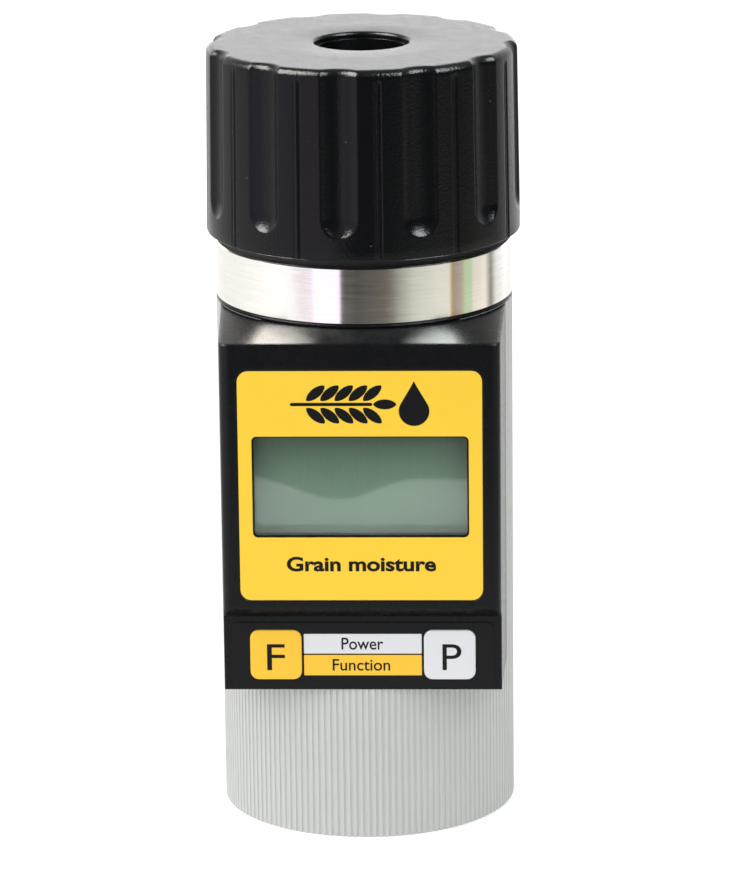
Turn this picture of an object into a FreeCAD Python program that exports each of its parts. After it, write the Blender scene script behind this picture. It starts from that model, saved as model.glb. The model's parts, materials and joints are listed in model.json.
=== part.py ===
"""Grain moisture meter: a hand-held capacitance meter with a screw cap that presses the grain.

The row frame has +Z up along the axis of the round body. The origin is the centre of the base,
and the display and the keys face -Y. All sizes are in millimetres.
"""
import FreeCAD
import Part
import math
import os
import Sketcher
from FreeCAD import Placement, Rotation, Vector

DIMENSIONS = {
    # Whole object
    "overall_height": 200.0,
    "gap": 0.05,
    # Ribbed tube
    "tube_radius": 37.9,
    "tube_wall": 2.5,
    "tube_top": 134.5,
    "rib_count": 144,
    "rib_groove_radius": 0.4,
    "window_half_width": 25.0,
    # Front casing
    "casing_bottom": 40.0,
    "casing_front_top": 131.4,
    "casing_front": 41.2,
    "casing_front_half_width": 35.1,
    "casing_back_half_width": 36.3,
    "casing_back": 10.9,
    "casing_wall": 2.2,
    "casing_cavity_half_width": 32.0,
    "shoulder_arc_half_width": 36.1,
    "panel_recess": 3.1,
    "panel_top": 59.4,
    "panel_slope_top": 62.4,
    "front_edge_radius": 2.4,
    # Label, window and display
    "label_half_width": 30.6,
    "label_bottom": 64.74,
    "label_top": 124.52,
    "label_thickness": 0.3,
    "label_corner": 2.8,
    "display_half_width": 27.2,
    "display_bottom": 81.2,
    "display_top": 107.6,
    "display_corner": 1.3,
    "lens_margin": 1.5,
    "lens_recess": 0.8,
    "lens_thickness": 1.4,
    "glass_front": 35.4,
    "glass_margin": 2.4,
    "glass_thickness": 1.6,
    # Keypad
    "overlay_half_width": 33.2,
    "overlay_bottom": 40.85,
    "overlay_top": 57.92,
    "overlay_corner": 1.8,
    "overlay_thickness": 0.3,
    "key_width": 13.1,
    "key_bottom": 42.86,
    "key_inner_edge": 15.5,
    "key_corner": 2.2,
    "key_proud": 0.5,
    "key_travel": 0.6,
    "key_switch_gap": 0.65,
    "key_lip": 0.9,
    # Circuit board
    "board_front": 33.2,
    "board_thickness": 1.6,
    "board_half_width": 30.0,
    "board_bottom": 43.0,
    "board_top": 124.0,
    # Measuring cup
    "cup_inner_radius": 27.5,
    "cup_wall": 1.8,
    "cup_bottom": 96.0,
    "ring_nut_radius": 31.4,
    "ring_radius": 38.0,
    "ring_bottom": 135.8,
    "ring_top": 149.9,
    "ring_wall": 1.8,
    "neck_radius": 33.5,
    "neck_top": 168.0,
    "thread_pitch": 6.0,
    "thread_depth": 1.1,
    # Cap
    "cap_radius": 40.0,
    "cap_top_radius": 39.35,
    "cap_bottom": 152.1,
    "cap_rim_radius": 1.4,
    "cap_hole_radius": 11.94,
    "cap_bore_radius": 36.35,
    "cap_top_wall": 4.5,
    "hub_bore_radius": 16.2,
    "hub_radius": 19.5,
    "flute_count": 12,
    "flute_width": 9.9,
    "flute_depth": 1.6,
    "flute_bottom": 157.7,
    "flute_angle": -96.7,
    "step_depth": 0.55,
    "step_top": 196.8,
    "step_angle": -82.0,
    # Plunger
    "stem_radius": 6.0,
    "plate_radius": 26.5,
    "plate_bottom": 140.0,
    "plate_thickness": 3.0,
    "indicator_top": 194.0,
    "indicator_radius": 10.94,
    "guide_bottom": 176.0,
    # Battery compartment
    "battery_width": 26.5,
    "battery_depth": 17.5,
    "battery_centre": 13.5,
    "base_thickness": 3.0,
    "door_hinge": 24.4,
}

doc = FreeCAD.newDocument("GrainMoistureMeter")
sheet = doc.addObject("Spreadsheet::Sheet", "Dims")
for row, (alias, number) in enumerate(DIMENSIONS.items(), start=1):
    sheet.set(f"A{row}", alias)
    sheet.set(f"B{row}", str(number))
    sheet.setAlias(f"B{row}", alias)
doc.recompute()


class Size:
    """A length, count or angle that knows its value and the sheet formula it comes from."""

    def __init__(self, number, formula):
        self.number = number
        self.formula = formula

    def combine(self, other, sign, result, swapped=False):
        right = other.formula if isinstance(other, Size) else f"{other:.6g}"
        left = self.formula
        if swapped:
            left, right = right, left
        return Size(result, f"({left} {sign} {right})")

    def __add__(self, other):
        return self.combine(other, "+", self.number + number_of(other))

    def __radd__(self, other):
        return self.combine(other, "+", other + self.number, swapped=True)

    def __sub__(self, other):
        return self.combine(other, "-", self.number - number_of(other))

    def __rsub__(self, other):
        return self.combine(other, "-", other - self.number, swapped=True)

    def __mul__(self, other):
        return self.combine(other, "*", self.number * number_of(other))

    def __rmul__(self, other):
        return self.combine(other, "*", other * self.number, swapped=True)

    def __truediv__(self, other):
        return self.combine(other, "/", self.number / number_of(other))

    def __neg__(self):
        return Size(-self.number, f"(-1 * {self.formula})")


def number_of(size):
    """The plain number of a size or a number."""
    return size.number if isinstance(size, Size) else float(size)


def dim(alias):
    """A size from the sheet."""
    return Size(DIMENSIONS[alias], f"Dims.{alias}")


def bind(target, name, size):
    """Give a property its value, and its formula when it has one."""
    if isinstance(size, Size):
        target.setExpression(name, size.formula)
    else:
        setattr(target, name, size)


# ---------------------------------------------------------------- sketch and feature helpers

def new_body(label):
    """An empty body with its name as label."""
    body = doc.addObject("PartDesign::Body", label)
    body.Label = label
    body.AllowCompound = True
    return body


def new_sketch(body, role, offset=0.0, turn=0.0):
    """A sketch on one of the body's own origin planes, moved along that plane's normal."""
    sketch = body.newObject("Sketcher::SketchObject", body.Label + "_sketch")
    plane = next(item for item in body.Origin.OriginFeatures if item.Role == role)
    sketch.AttachmentSupport = [(plane, "")]
    sketch.MapMode = "FlatFace"
    sketch.AttachmentOffset = Placement(
        Vector(0, 0, number_of(offset)), Rotation(Vector(0, 0, 1), number_of(turn)))
    if isinstance(offset, Size):
        sketch.setExpression("AttachmentOffset.Base.z", offset.formula)
    return sketch


def pin_point(sketch, geometry, end, point):
    """Fix one end of an edge at a point whose coordinates may be formulas."""
    for kind, size in zip(("DistanceX", "DistanceY"), point):
        constraint = Sketcher.Constraint(kind, -1, 1, geometry, end, number_of(size))
        index = sketch.addConstraint(constraint)
        if isinstance(size, Size):
            sketch.setExpression(f"Constraints[{index}]", size.formula)


def draw_outline(sketch, points):
    """A closed outline of straight edges through the points."""
    corners = [Vector(number_of(first), number_of(second), 0) for first, second in points]
    edges = []
    for index, corner in enumerate(corners):
        following = corners[(index + 1) % len(corners)]
        edges.append(sketch.addGeometry(Part.LineSegment(corner, following), False))
    for index, edge in enumerate(edges):
        following = edges[(index + 1) % len(edges)]
        sketch.addConstraint(Sketcher.Constraint("Coincident", edge, 2, following, 1))
        pin_point(sketch, edge, 1, points[index])
    return edges


def draw_circle(sketch, centre, radius):
    """A circle whose centre and radius may be formulas."""
    middle = Vector(number_of(centre[0]), number_of(centre[1]), 0)
    edge = sketch.addGeometry(Part.Circle(middle, Vector(0, 0, 1), number_of(radius)), False)
    pin_point(sketch, edge, 3, centre)
    index = sketch.addConstraint(Sketcher.Constraint("Radius", edge, number_of(radius)))
    if isinstance(radius, Size):
        sketch.setExpression(f"Constraints[{index}]", radius.formula)
    return edge


def feature(body, kind, name, **values):
    """A PartDesign feature that becomes the body's last one."""
    item = body.newObject("PartDesign::" + kind, body.Label + "_" + name)
    for key, size in values.items():
        bind(item, key, size)
    body.Tip = item
    return item


def revolve(body, points, name="turned"):
    """Turn an outline of (radius, height) points about the vertical axis."""
    sketch = new_sketch(body, "XZ_Plane")
    draw_outline(sketch, points)
    solid = feature(body, "Revolution", name, Profile=sketch)
    solid.ReferenceAxis = (sketch, ["V_Axis"])
    solid.Angle = 360
    return solid


def box_points(left, bottom, right, top):
    """The corners of a rectangle."""
    return [(left, bottom), (right, bottom), (right, top), (left, top)]


def pad_up(body, draw, bottom, length, name="pad"):
    """Pad a plan-view drawing upwards from a height."""
    sketch = new_sketch(body, "XY_Plane", bottom)
    draw(sketch)
    return feature(body, "Pad", name, Profile=sketch, Length=length)


def pocket_down(body, draw, top, depth, name="pocket"):
    """Cut a plan-view drawing downwards from a height."""
    sketch = new_sketch(body, "XY_Plane", top)
    draw(sketch)
    return feature(body, "Pocket", name, Profile=sketch, Length=depth)


def pad_forward(body, draw, back, length, name="pad"):
    """Pad a front-view drawing towards -Y. back is how far in front of the axis it starts."""
    sketch = new_sketch(body, "XZ_Plane", back)
    draw(sketch)
    return feature(body, "Pad", name, Profile=sketch, Length=length)


def pocket_back(body, draw, front, depth, name="pocket"):
    """Cut a front-view drawing towards +Y. front is how far in front of the axis it starts."""
    sketch = new_sketch(body, "XZ_Plane", front)
    draw(sketch)
    return feature(body, "Pocket", name, Profile=sketch, Length=depth)


def ring_pattern(body, originals, count, name="ring"):
    """Repeat features whose sketch lies flat around the vertical axis."""
    pattern = feature(body, "PolarPattern", name, Occurrences=count)
    pattern.Originals = originals
    pattern.Axis = (originals[0].Profile[0], ["N_Axis"])
    pattern.Angle = 360
    return pattern


def turned_pattern(body, originals, count, name="ring"):
    """Repeat features whose sketch stands upright around the vertical axis."""
    pattern = feature(body, "PolarPattern", name, Occurrences=count)
    pattern.Originals = originals
    pattern.Axis = (originals[0].Profile[0], ["V_Axis"])
    pattern.Angle = 360
    return pattern


def round_edges(body, wanted, radius, name="rounded"):
    """Fillet every edge of the body's last feature that a test accepts."""
    doc.recompute()
    base = body.Tip
    names = [f"Edge{number}" for number, edge in enumerate(base.Shape.Edges, start=1) if wanted(edge)]
    fillet = feature(body, "Fillet", name, Radius=radius)
    fillet.Base = (base, names)
    return fillet


def runs_along(edge, axis):
    """True for a straight edge parallel to an axis."""
    if edge.Curve.TypeId != "Part::GeomLine":
        return False
    return abs(abs(edge.tangentAt(edge.FirstParameter).dot(axis)) - 1) < 1e-6


def outline(points):
    """A drawing of a closed outline."""
    return lambda sketch: draw_outline(sketch, points)


def disc(radius, centre=(0, 0)):
    """A drawing of a circle."""
    return lambda sketch: draw_circle(sketch, centre, radius)


def rounded_plate(label, edges, back, thickness, corner):
    """A flat plate that faces -Y: edges are left, bottom, right and top."""
    body = new_body(label)
    pad_forward(body, outline(box_points(*edges)), back, thickness)
    round_edges(body, lambda edge: runs_along(edge, Vector(0, 1, 0)), corner, "corners")
    return body


def thread_ridge(body, root, tip, start, length, name="thread"):
    """A helical ridge. Its foot is at radius root and its crest at radius tip."""
    half_foot = 1.3
    half_crest = 0.55
    sunk = 0.15
    overlap = sunk if number_of(tip) > number_of(root) else -sunk
    sketch = new_sketch(body, "XZ_Plane")
    draw_outline(sketch, [
        (root - overlap, start - half_foot), (tip, start - half_crest),
        (tip, start + half_crest), (root - overlap, start + half_foot)])
    helix = feature(body, "AdditiveHelix", name, Profile=sketch)
    helix.ReferenceAxis = (sketch, ["V_Axis"])
    helix.Mode = 0
    bind(helix, "Pitch", dim("thread_pitch"))
    bind(helix, "Height", length)
    return helix


def screws_on_ring(label, outline_points, centre_radius, count, turn):
    """Upright screws, given as one (radius, height) outline, spaced round a circle."""
    body = new_body(label)
    axis_length = 10
    sketch = new_sketch(body, "XZ_Plane")
    shift = number_of(centre_radius)
    draw_outline(sketch, [(centre_radius + radius, height) for radius, height in outline_points])
    axis_line = sketch.addGeometry(
        Part.LineSegment(Vector(shift, 0, 0), Vector(shift, axis_length, 0)), True)
    pin_point(sketch, axis_line, 1, (centre_radius, 0))
    pin_point(sketch, axis_line, 2, (centre_radius, axis_length))
    screw = feature(body, "Revolution", "screw", Profile=sketch)
    screw.ReferenceAxis = (sketch, ["Axis0"])
    screw.Angle = 360
    turned_pattern(body, [screw], count)
    body.Placement = Placement(Vector(), Rotation(Vector(0, 0, 1), turn))
    return body


# ---------------------------------------------------------------- shared sizes

GAP = dim("gap")
FLAT = 0.01
TUBE_BORE = dim("tube_radius") - dim("tube_wall")
FRONT = dim("casing_front")
PANEL_FRONT = FRONT - dim("panel_recess")
PANEL_WALL = 1.4
PANEL_FLOOR = 1.6
PANEL_CAVITY_HEIGHT = 30
DISPLAY_WALL_BACK = FRONT - dim("casing_wall")
LENS_FRONT = FRONT - dim("lens_recess")
LENS_BACK = LENS_FRONT - dim("lens_thickness")
BOARD_BACK = dim("board_front") - dim("board_thickness")
SWITCH_BASE = 0.4
SWITCH_HEIGHT = SWITCH_BASE + 0.3
CUP_OUTER = dim("cup_inner_radius") + dim("cup_wall")
FLOOR_FLANGE_BOTTOM = dim("cup_bottom") - 3.0
BASE_SCREW_COUNT = 4
BASE_SCREW_CIRCLE = 32.0
BASE_SCREW_TURN = 45.0
BASE_SCREW_LENGTH = 14.0
BASE_SCREW_RADIUS = 1.0
BASE_HEAD_RADIUS = 2.4
BASE_HEAD_TOP = 1.85
DOOR_BOTTOM = 0.3
DOOR_TOP = 2.5
DOOR_HALF_WIDTH = 13.7
DOOR_PIN_RADIUS = 0.8
DOOR_PIN_REACH = 16.3
DOOR_AXIS_HEIGHT = 1.4
BATTERY_BOTTOM = 4.0
BATTERY_CASE_TOP = BATTERY_BOTTOM + 46.4
STUD_SPACING = 6.35
LEAD_HEIGHT = 72.0
BEND_SHARE = 0.45
CASING_SCREW_ANGLE = 52.0
CASING_SCREW_RADIUS = 1.0
CASING_SCREW_HEIGHTS = (66.0, 118.0)
BOARD_SCREW_X = 27.0
BOARD_SCREW_RADIUS = 0.8
BOARD_SCREW_HEIGHTS = (63.5, 119.5)
KEY_TOP = dim("key_bottom") + dim("key_width")
KEY_OUTER_EDGE = dim("key_inner_edge") + dim("key_width")
CAP_TOP = dim("overall_height")
NECK_THREAD_START = dim("ring_top") + 4.0
CAP_THREAD_START = NECK_THREAD_START + dim("thread_pitch") / 2
THREAD_LENGTH = dim("thread_pitch") * 1.5
SLEEVE_BOTTOM = dim("cap_bottom") - 0.45
SLEEVE_TOP = SLEEVE_BOTTOM + 20.5
SLEEVE_BORE = dim("neck_radius") + 1.4
FLOOR_TOP = dim("cup_bottom") + 3.0
SENSOR_RADIUS = 2.0
SENSOR_PLACE = (14.0, 8.0)
STUD_RADIUS = 2.0
STUD_HOLE_RADIUS = 2.1
WASHER_BOTTOM = 92.2
PLATE_TOP = dim("plate_bottom") + dim("plate_thickness")
GUIDE_RADIUS = 12.5
INDICATOR_SCREW_RADIUS = 1.6
INDICATOR_SCREW_DEPTH = 8.0
GUIDE_FLANGE_TOP = CAP_TOP - 6.1
GUIDE_FLANGE_BOTTOM = GUIDE_FLANGE_TOP - 2.5
STEM_TOP = dim("indicator_top") - 4.0


# ---------------------------------------------------------------- tube and base

def body_tube():
    """The ribbed round housing, open in front where the casing sits."""
    body = new_body("body_tube")
    radius = dim("tube_radius")

    def wall(sketch):
        draw_circle(sketch, (0, 0), radius)
        draw_circle(sketch, (0, 0), TUBE_BORE)

    pad_up(body, wall, 0, dim("tube_top"), "wall")
    groove_centre = radius + 0.05
    groove = pocket_down(body, disc(dim("rib_groove_radius"), (groove_centre, 0)),
                         dim("tube_top"), dim("tube_top"), "groove")
    ring_pattern(body, [groove], dim("rib_count"), "ribs")
    post_radius = 3.6
    post_height = 18
    post = pad_up(body, disc(post_radius, (BASE_SCREW_CIRCLE, 0)),
                  dim("base_thickness") + GAP, post_height, "post")
    ring_pattern(body, [post], BASE_SCREW_COUNT, "posts")
    pilot = pocket_down(body, disc(BASE_SCREW_RADIUS, (BASE_SCREW_CIRCLE, 0)),
                        post_height, post_height, "pilot")
    ring_pattern(body, [pilot], BASE_SCREW_COUNT, "pilots")
    body.Placement = Placement(Vector(), Rotation(Vector(0, 0, 1), BASE_SCREW_TURN))

    half_width = dim("window_half_width")
    depth = dim("tube_radius") + 1
    height = dim("tube_top") - dim("casing_bottom") + 1
    behind_window = 5
    window = box("tube_window", (-half_width, -depth, dim("casing_bottom") - GAP),
                 (half_width * 2, depth - behind_window, height))
    hole_radius = 1.6
    hole_start = 33.0
    hole_length = 8.0
    holes = [radial_rod(f"tube_screw_hole_{index}", hole_radius, hole_start, hole_length, *place)
             for index, place in enumerate(casing_screw_places())]
    return cut("body_tube", body, [window] + holes)


def casing_screw_places():
    """Angle from the front and height of each screw that holds the casing on the tube."""
    return [(side * CASING_SCREW_ANGLE, height) for side in (-1, 1) for height in CASING_SCREW_HEIGHTS]


def board_screw_places():
    """Sideways place and height of each screw that holds the circuit board."""
    return [(side * BOARD_SCREW_X, height) for side in (-1, 1) for height in BOARD_SCREW_HEIGHTS]


def box(name, corner, lengths):
    """A block, given by its lowest corner and its three lengths."""
    item = doc.addObject("Part::Box", name)
    for key, size in zip(("Length", "Width", "Height"), lengths):
        bind(item, key, size)
    item.Placement = Placement(Vector(*[number_of(size) for size in corner]), Rotation())
    for key, size in zip("xyz", corner):
        if isinstance(size, Size):
            item.setExpression(f"Placement.Base.{key}", size.formula)
    return item


def rod(name, radius, corner, length, direction=Vector(0, 0, 1)):
    """A cylinder from a point, along a direction."""
    item = doc.addObject("Part::Cylinder", name)
    bind(item, "Radius", radius)
    bind(item, "Height", length)
    item.Placement = Placement(
        Vector(*[number_of(size) for size in corner]), Rotation(Vector(0, 0, 1), direction))
    for key, size in zip("xyz", corner):
        if isinstance(size, Size):
            item.setExpression(f"Placement.Base.{key}", size.formula)
    return item


def radial_rod(name, radius, start, length, angle, height):
    """A level cylinder that points away from the tube's axis. angle 0 is the front."""
    away = Vector(math.sin(math.radians(angle)), -math.cos(math.radians(angle)), 0)
    corner = away * start
    return rod(name, radius, (corner.x, corner.y, height), length, away)


def cut(label, base, tools):
    """The base with every tool taken away."""
    tool = tools[0] if len(tools) == 1 else fuse(label + "_tools", tools)
    item = doc.addObject("Part::Cut", label)
    item.Base = base
    item.Tool = tool
    base.Label = label + "_blank"
    item.Label = label
    return item


def fuse(label, items):
    """Several solids joined into one."""
    joined = doc.addObject("Part::MultiFuse", label)
    joined.Shapes = items
    joined.Label = label
    return joined


def base_plate():
    """The bottom plate, with four countersunk screws and the battery opening."""
    body = new_body("base_plate")
    thickness = dim("base_thickness")
    pad_up(body, disc(TUBE_BORE - GAP * 2), 0, thickness, "plate")
    opening_half_width = 14.0
    opening_front = 3.8
    opening_back = 25.8
    pocket_down(body, outline(box_points(-opening_half_width, opening_front,
                                         opening_half_width, opening_back)),
                thickness, thickness, "opening")
    screw_hole = (1.6, 3.0, "hole")
    head_seat = (2.7, 1.9, "seat")
    for hole_radius, depth, name in (screw_hole, head_seat):
        sketch = new_sketch(body, "XY_Plane")
        reach = BASE_SCREW_CIRCLE * math.sqrt(0.5)
        for across in (-reach, reach):
            for along in (-reach, reach):
                draw_circle(sketch, (across, along), hole_radius)
        feature(body, "Pocket", name, Profile=sketch, Length=depth, Reversed=True)
    pin_hole_reach = DOOR_PIN_REACH + 0.2
    pin_hole = new_sketch(body, "YZ_Plane", -pin_hole_reach)
    draw_circle(pin_hole, (dim("door_hinge"), DOOR_AXIS_HEIGHT), DOOR_PIN_RADIUS + GAP)
    feature(body, "Pocket", "pin_hole", Profile=pin_hole, Length=pin_hole_reach * 2, Reversed=True)
    return body


def base_screws():
    """The four screws that hold the base plate to the tube's posts."""
    head_bottom = 0.3
    point_height = 1.0
    return screws_on_ring("base_screws", [
        (0, head_bottom), (BASE_HEAD_RADIUS, head_bottom), (BASE_HEAD_RADIUS, BASE_HEAD_TOP),
        (BASE_SCREW_RADIUS, BASE_HEAD_TOP), (BASE_SCREW_RADIUS, BASE_SCREW_LENGTH - point_height),
        (0, BASE_SCREW_LENGTH)], BASE_SCREW_CIRCLE, BASE_SCREW_COUNT, BASE_SCREW_TURN)


def battery_door():
    """The hatch under the battery. It turns on two stub pins at its rear edge."""
    body = new_body("battery_door")
    hinge = dim("door_hinge")
    leaf_front = 4.1
    barrel_radius = 1.1
    pad_up(body, outline(box_points(-DOOR_HALF_WIDTH, leaf_front, DOOR_HALF_WIDTH, hinge)),
           DOOR_BOTTOM, DOOR_TOP - DOOR_BOTTOM, "leaf")
    barrel = new_sketch(body, "YZ_Plane", -DOOR_HALF_WIDTH)
    draw_circle(barrel, (hinge, DOOR_AXIS_HEIGHT), barrel_radius)
    feature(body, "Pad", "barrel", Profile=barrel, Length=DOOR_HALF_WIDTH * 2)
    pin = new_sketch(body, "YZ_Plane", -DOOR_PIN_REACH)
    draw_circle(pin, (hinge, DOOR_AXIS_HEIGHT), DOOR_PIN_RADIUS)
    feature(body, "Pad", "pins", Profile=pin, Length=DOOR_PIN_REACH * 2)
    notch_centre = 1.6
    notch_radius = 4.6
    notch_depth = 0.9
    thumb = new_sketch(body, "XY_Plane", DOOR_BOTTOM)
    draw_circle(thumb, (0, notch_centre), notch_radius)
    feature(body, "Pocket", "thumb_notch", Profile=thumb, Length=notch_depth, Reversed=True)
    return body


def door_pad():
    """The foam strip on the hatch that keeps the battery from rattling."""
    body = new_body("door_pad")
    half_width = 9
    front = 7
    back = 20
    thickness = 1.4
    pad_up(body, outline(box_points(-half_width, front, half_width, back)), DOOR_TOP, thickness)
    return body


def battery_box():
    """The well that the battery slides into from below."""
    body = new_body("battery_box")
    centre = dim("battery_centre")
    play = 0.55
    half_width = dim("battery_width") / 2 + play
    half_depth = dim("battery_depth") / 2 + play
    wall = 1.2
    bottom = dim("base_thickness")
    height = 60.0
    pad_up(body, outline(box_points(-half_width - wall, centre - half_depth - wall,
                                    half_width + wall, centre + half_depth + wall)),
           bottom, height, "walls")
    pocket_down(body, outline(box_points(-half_width, centre - half_depth,
                                         half_width, centre + half_depth)),
                bottom + height - wall, height, "well")
    slot_half_width = 9
    slot_half_depth = 4
    pocket_down(body, outline(box_points(-slot_half_width, centre - slot_half_depth,
                                         slot_half_width, centre + slot_half_depth)),
                bottom + height, wall + 1, "lead_slot")
    return body


def battery():
    """A nine volt block battery, standing on the hatch with its studs up."""
    body = new_body("battery")
    centre = dim("battery_centre")
    half_width = dim("battery_width") / 2
    half_depth = dim("battery_depth") / 2
    corner = 2.0
    stud_height = 2.1
    pad_up(body, outline(box_points(-half_width, centre - half_depth, half_width, centre + half_depth)),
           BATTERY_BOTTOM, BATTERY_CASE_TOP - BATTERY_BOTTOM, "case")
    round_edges(body, lambda edge: runs_along(edge, Vector(0, 0, 1)), corner, "corners")
    for side, radius, name in ((-1, 2.9, "small_stud"), (1, 3.6, "large_stud")):
        pad_up(body, disc(radius, (side * STUD_SPACING, centre)), BATTERY_CASE_TOP, stud_height, name)
    return body


def battery_snap():
    """The clip on the battery's studs."""
    body = new_body("battery_snap")
    centre = dim("battery_centre")
    half_width = 12.5
    half_depth = 6
    thickness = 4.0
    corner = 2.5
    seat_radius = 3.8
    seat_depth = 2.2
    bottom = BATTERY_CASE_TOP + GAP
    pad_up(body, outline(box_points(-half_width, centre - half_depth, half_width, centre + half_depth)),
           bottom, thickness, "clip")
    round_edges(body, lambda edge: runs_along(edge, Vector(0, 0, 1)), corner, "corners")
    for side in (-1, 1):
        sketch = new_sketch(body, "XY_Plane", bottom)
        draw_circle(sketch, (side * STUD_SPACING, centre), seat_radius)
        feature(body, "Pocket", "stud_seat", Profile=sketch, Length=seat_depth, Reversed=True)
    return body


# ---------------------------------------------------------------- wires inside the housing

def wire_shape(points, radius):
    """A round wire through the points, with an arc tangent to both runs at each corner."""
    spots = [Vector(*[number_of(size) for size in point]) for point in points]
    edges = []
    start = spots[0]
    for before, corner, after in zip(spots, spots[1:], spots[2:]):
        inward = (before - corner).normalize()
        outward = (after - corner).normalize()
        setback = BEND_SHARE * min((before - corner).Length, (after - corner).Length)
        first = corner + inward * setback
        last = corner + outward * setback
        half_turn = inward.getAngle(outward) / 2
        bend = setback * math.tan(half_turn)
        centre = corner + (inward + outward).normalize() * (setback / math.cos(half_turn))
        middle = centre + (corner - centre).normalize() * bend
        edges.append(Part.LineSegment(start, first).toShape())
        edges.append(Part.Arc(first, middle, last).toShape())
        start = last
    edges.append(Part.LineSegment(start, spots[-1]).toShape())
    path = Part.Wire(edges)
    direction = spots[1] - spots[0]
    section = Part.Wire(Part.makeCircle(radius, spots[0], direction))
    return path.makePipeShell([section], True, False)


def wire(label, routes, radius):
    """One or more round wires, each along a route of points."""
    item = doc.addObject("Part::Feature", label)
    solids = [wire_shape(points, radius) for points in routes]
    item.Shape = solids[0] if len(solids) == 1 else Part.makeCompound(solids)
    item.Label = label
    return item


def battery_leads():
    """Two leads from the clip to the back of the circuit board."""
    centre = dim("battery_centre")
    start = 54.5
    inner = 5.0
    outer = 9.0
    bend = -9.0
    radius = 0.7
    return wire("battery_leads", [
        [(side * inner, centre, start), (side * inner, centre, LEAD_HEIGHT),
         (side * outer, bend, LEAD_HEIGHT), (side * outer, -BOARD_BACK, LEAD_HEIGHT)]
        for side in (-1, 1)], radius)


def electrode_lead():
    """The lead from the centre electrode's washer to the circuit board."""
    start = -4.6
    drop = 79.0
    bend = -17.0
    radius = 0.6
    return wire("electrode_lead", [
        [(0, start, WASHER_BOTTOM), (0, start, drop), (0, bend, LEAD_HEIGHT),
         (0, -BOARD_BACK, LEAD_HEIGHT)]], radius)


# ---------------------------------------------------------------- front casing

def casing_blank():
    """The outer form of the casing: a flat-fronted block with a sloping shoulder."""
    body = new_body("casing_blank")
    half_width = dim("casing_front_half_width")
    back_half_width = dim("casing_back_half_width")
    front = -FRONT
    back = -dim("casing_back")
    plan = [(-half_width, front), (half_width, front), (back_half_width, back), (-back_half_width, back)]
    pad_up(body, outline(plan), dim("casing_bottom"),
           dim("casing_front_top") - dim("casing_bottom"), "block")
    round_edges(body, lambda edge: runs_along(edge, Vector(0, 0, 1))
                and edge.CenterOfMass.y < number_of(front) + 1, dim("front_edge_radius"), "front_edges")
    return body


def shoulder_blank(block):
    """The shoulder: ruled from the block's flat top up to the round neck ring."""
    low = number_of(dim("casing_front_top"))
    high = number_of(dim("tube_top"))
    radius = number_of(dim("tube_radius"))
    arc_half_width = number_of(dim("shoulder_arc_half_width"))
    back_half_width = number_of(dim("casing_back_half_width"))
    back = -number_of(dim("casing_back"))
    reach = math.asin(arc_half_width / radius)
    corner_reach = reach - math.radians(3.0)

    def on_arc(angle):
        return Vector(radius * math.sin(angle), -radius * math.cos(angle), high)

    def arc(first, last):
        return Part.Arc(on_arc(first), on_arc((first + last) / 2), on_arc(last)).toShape()

    top_right = Vector(back_half_width, back, high)
    top_left = Vector(-back_half_width, back, high)
    upper_wire = Part.Wire([
        arc(-corner_reach, corner_reach), arc(corner_reach, reach),
        Part.LineSegment(on_arc(reach), top_right).toShape(),
        Part.LineSegment(top_right, top_left).toShape(),
        Part.LineSegment(top_left, on_arc(-reach)).toShape(),
        arc(-reach, -corner_reach)])

    flat_top = next(face for face in block.Shape.Faces if face.BoundBox.ZMin > low - FLAT)
    edges = flat_top.OuterWire.OrderedEdges
    front = next(index for index, edge in enumerate(edges) if is_front_edge(edge))
    lower_wire = Part.Wire(edges[front:] + edges[:front])
    item = doc.addObject("Part::Feature", "shoulder_blank")
    item.Shape = Part.makeLoft([lower_wire, upper_wire], True, True)
    return item


def is_front_edge(edge):
    """True for the long level edge where the casing's flat front ends."""
    box_of_edge = edge.BoundBox
    level = abs(box_of_edge.Center.z - number_of(dim("casing_front_top"))) < FLAT
    return level and box_of_edge.YMax < FLAT - number_of(FRONT) and box_of_edge.XLength > 1


def casing_outer():
    """Block and shoulder in one."""
    block = casing_blank()
    doc.recompute()
    joined = fuse("casing_outer", [block, shoulder_blank(block)])
    joined.Refine = True
    return joined


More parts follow.
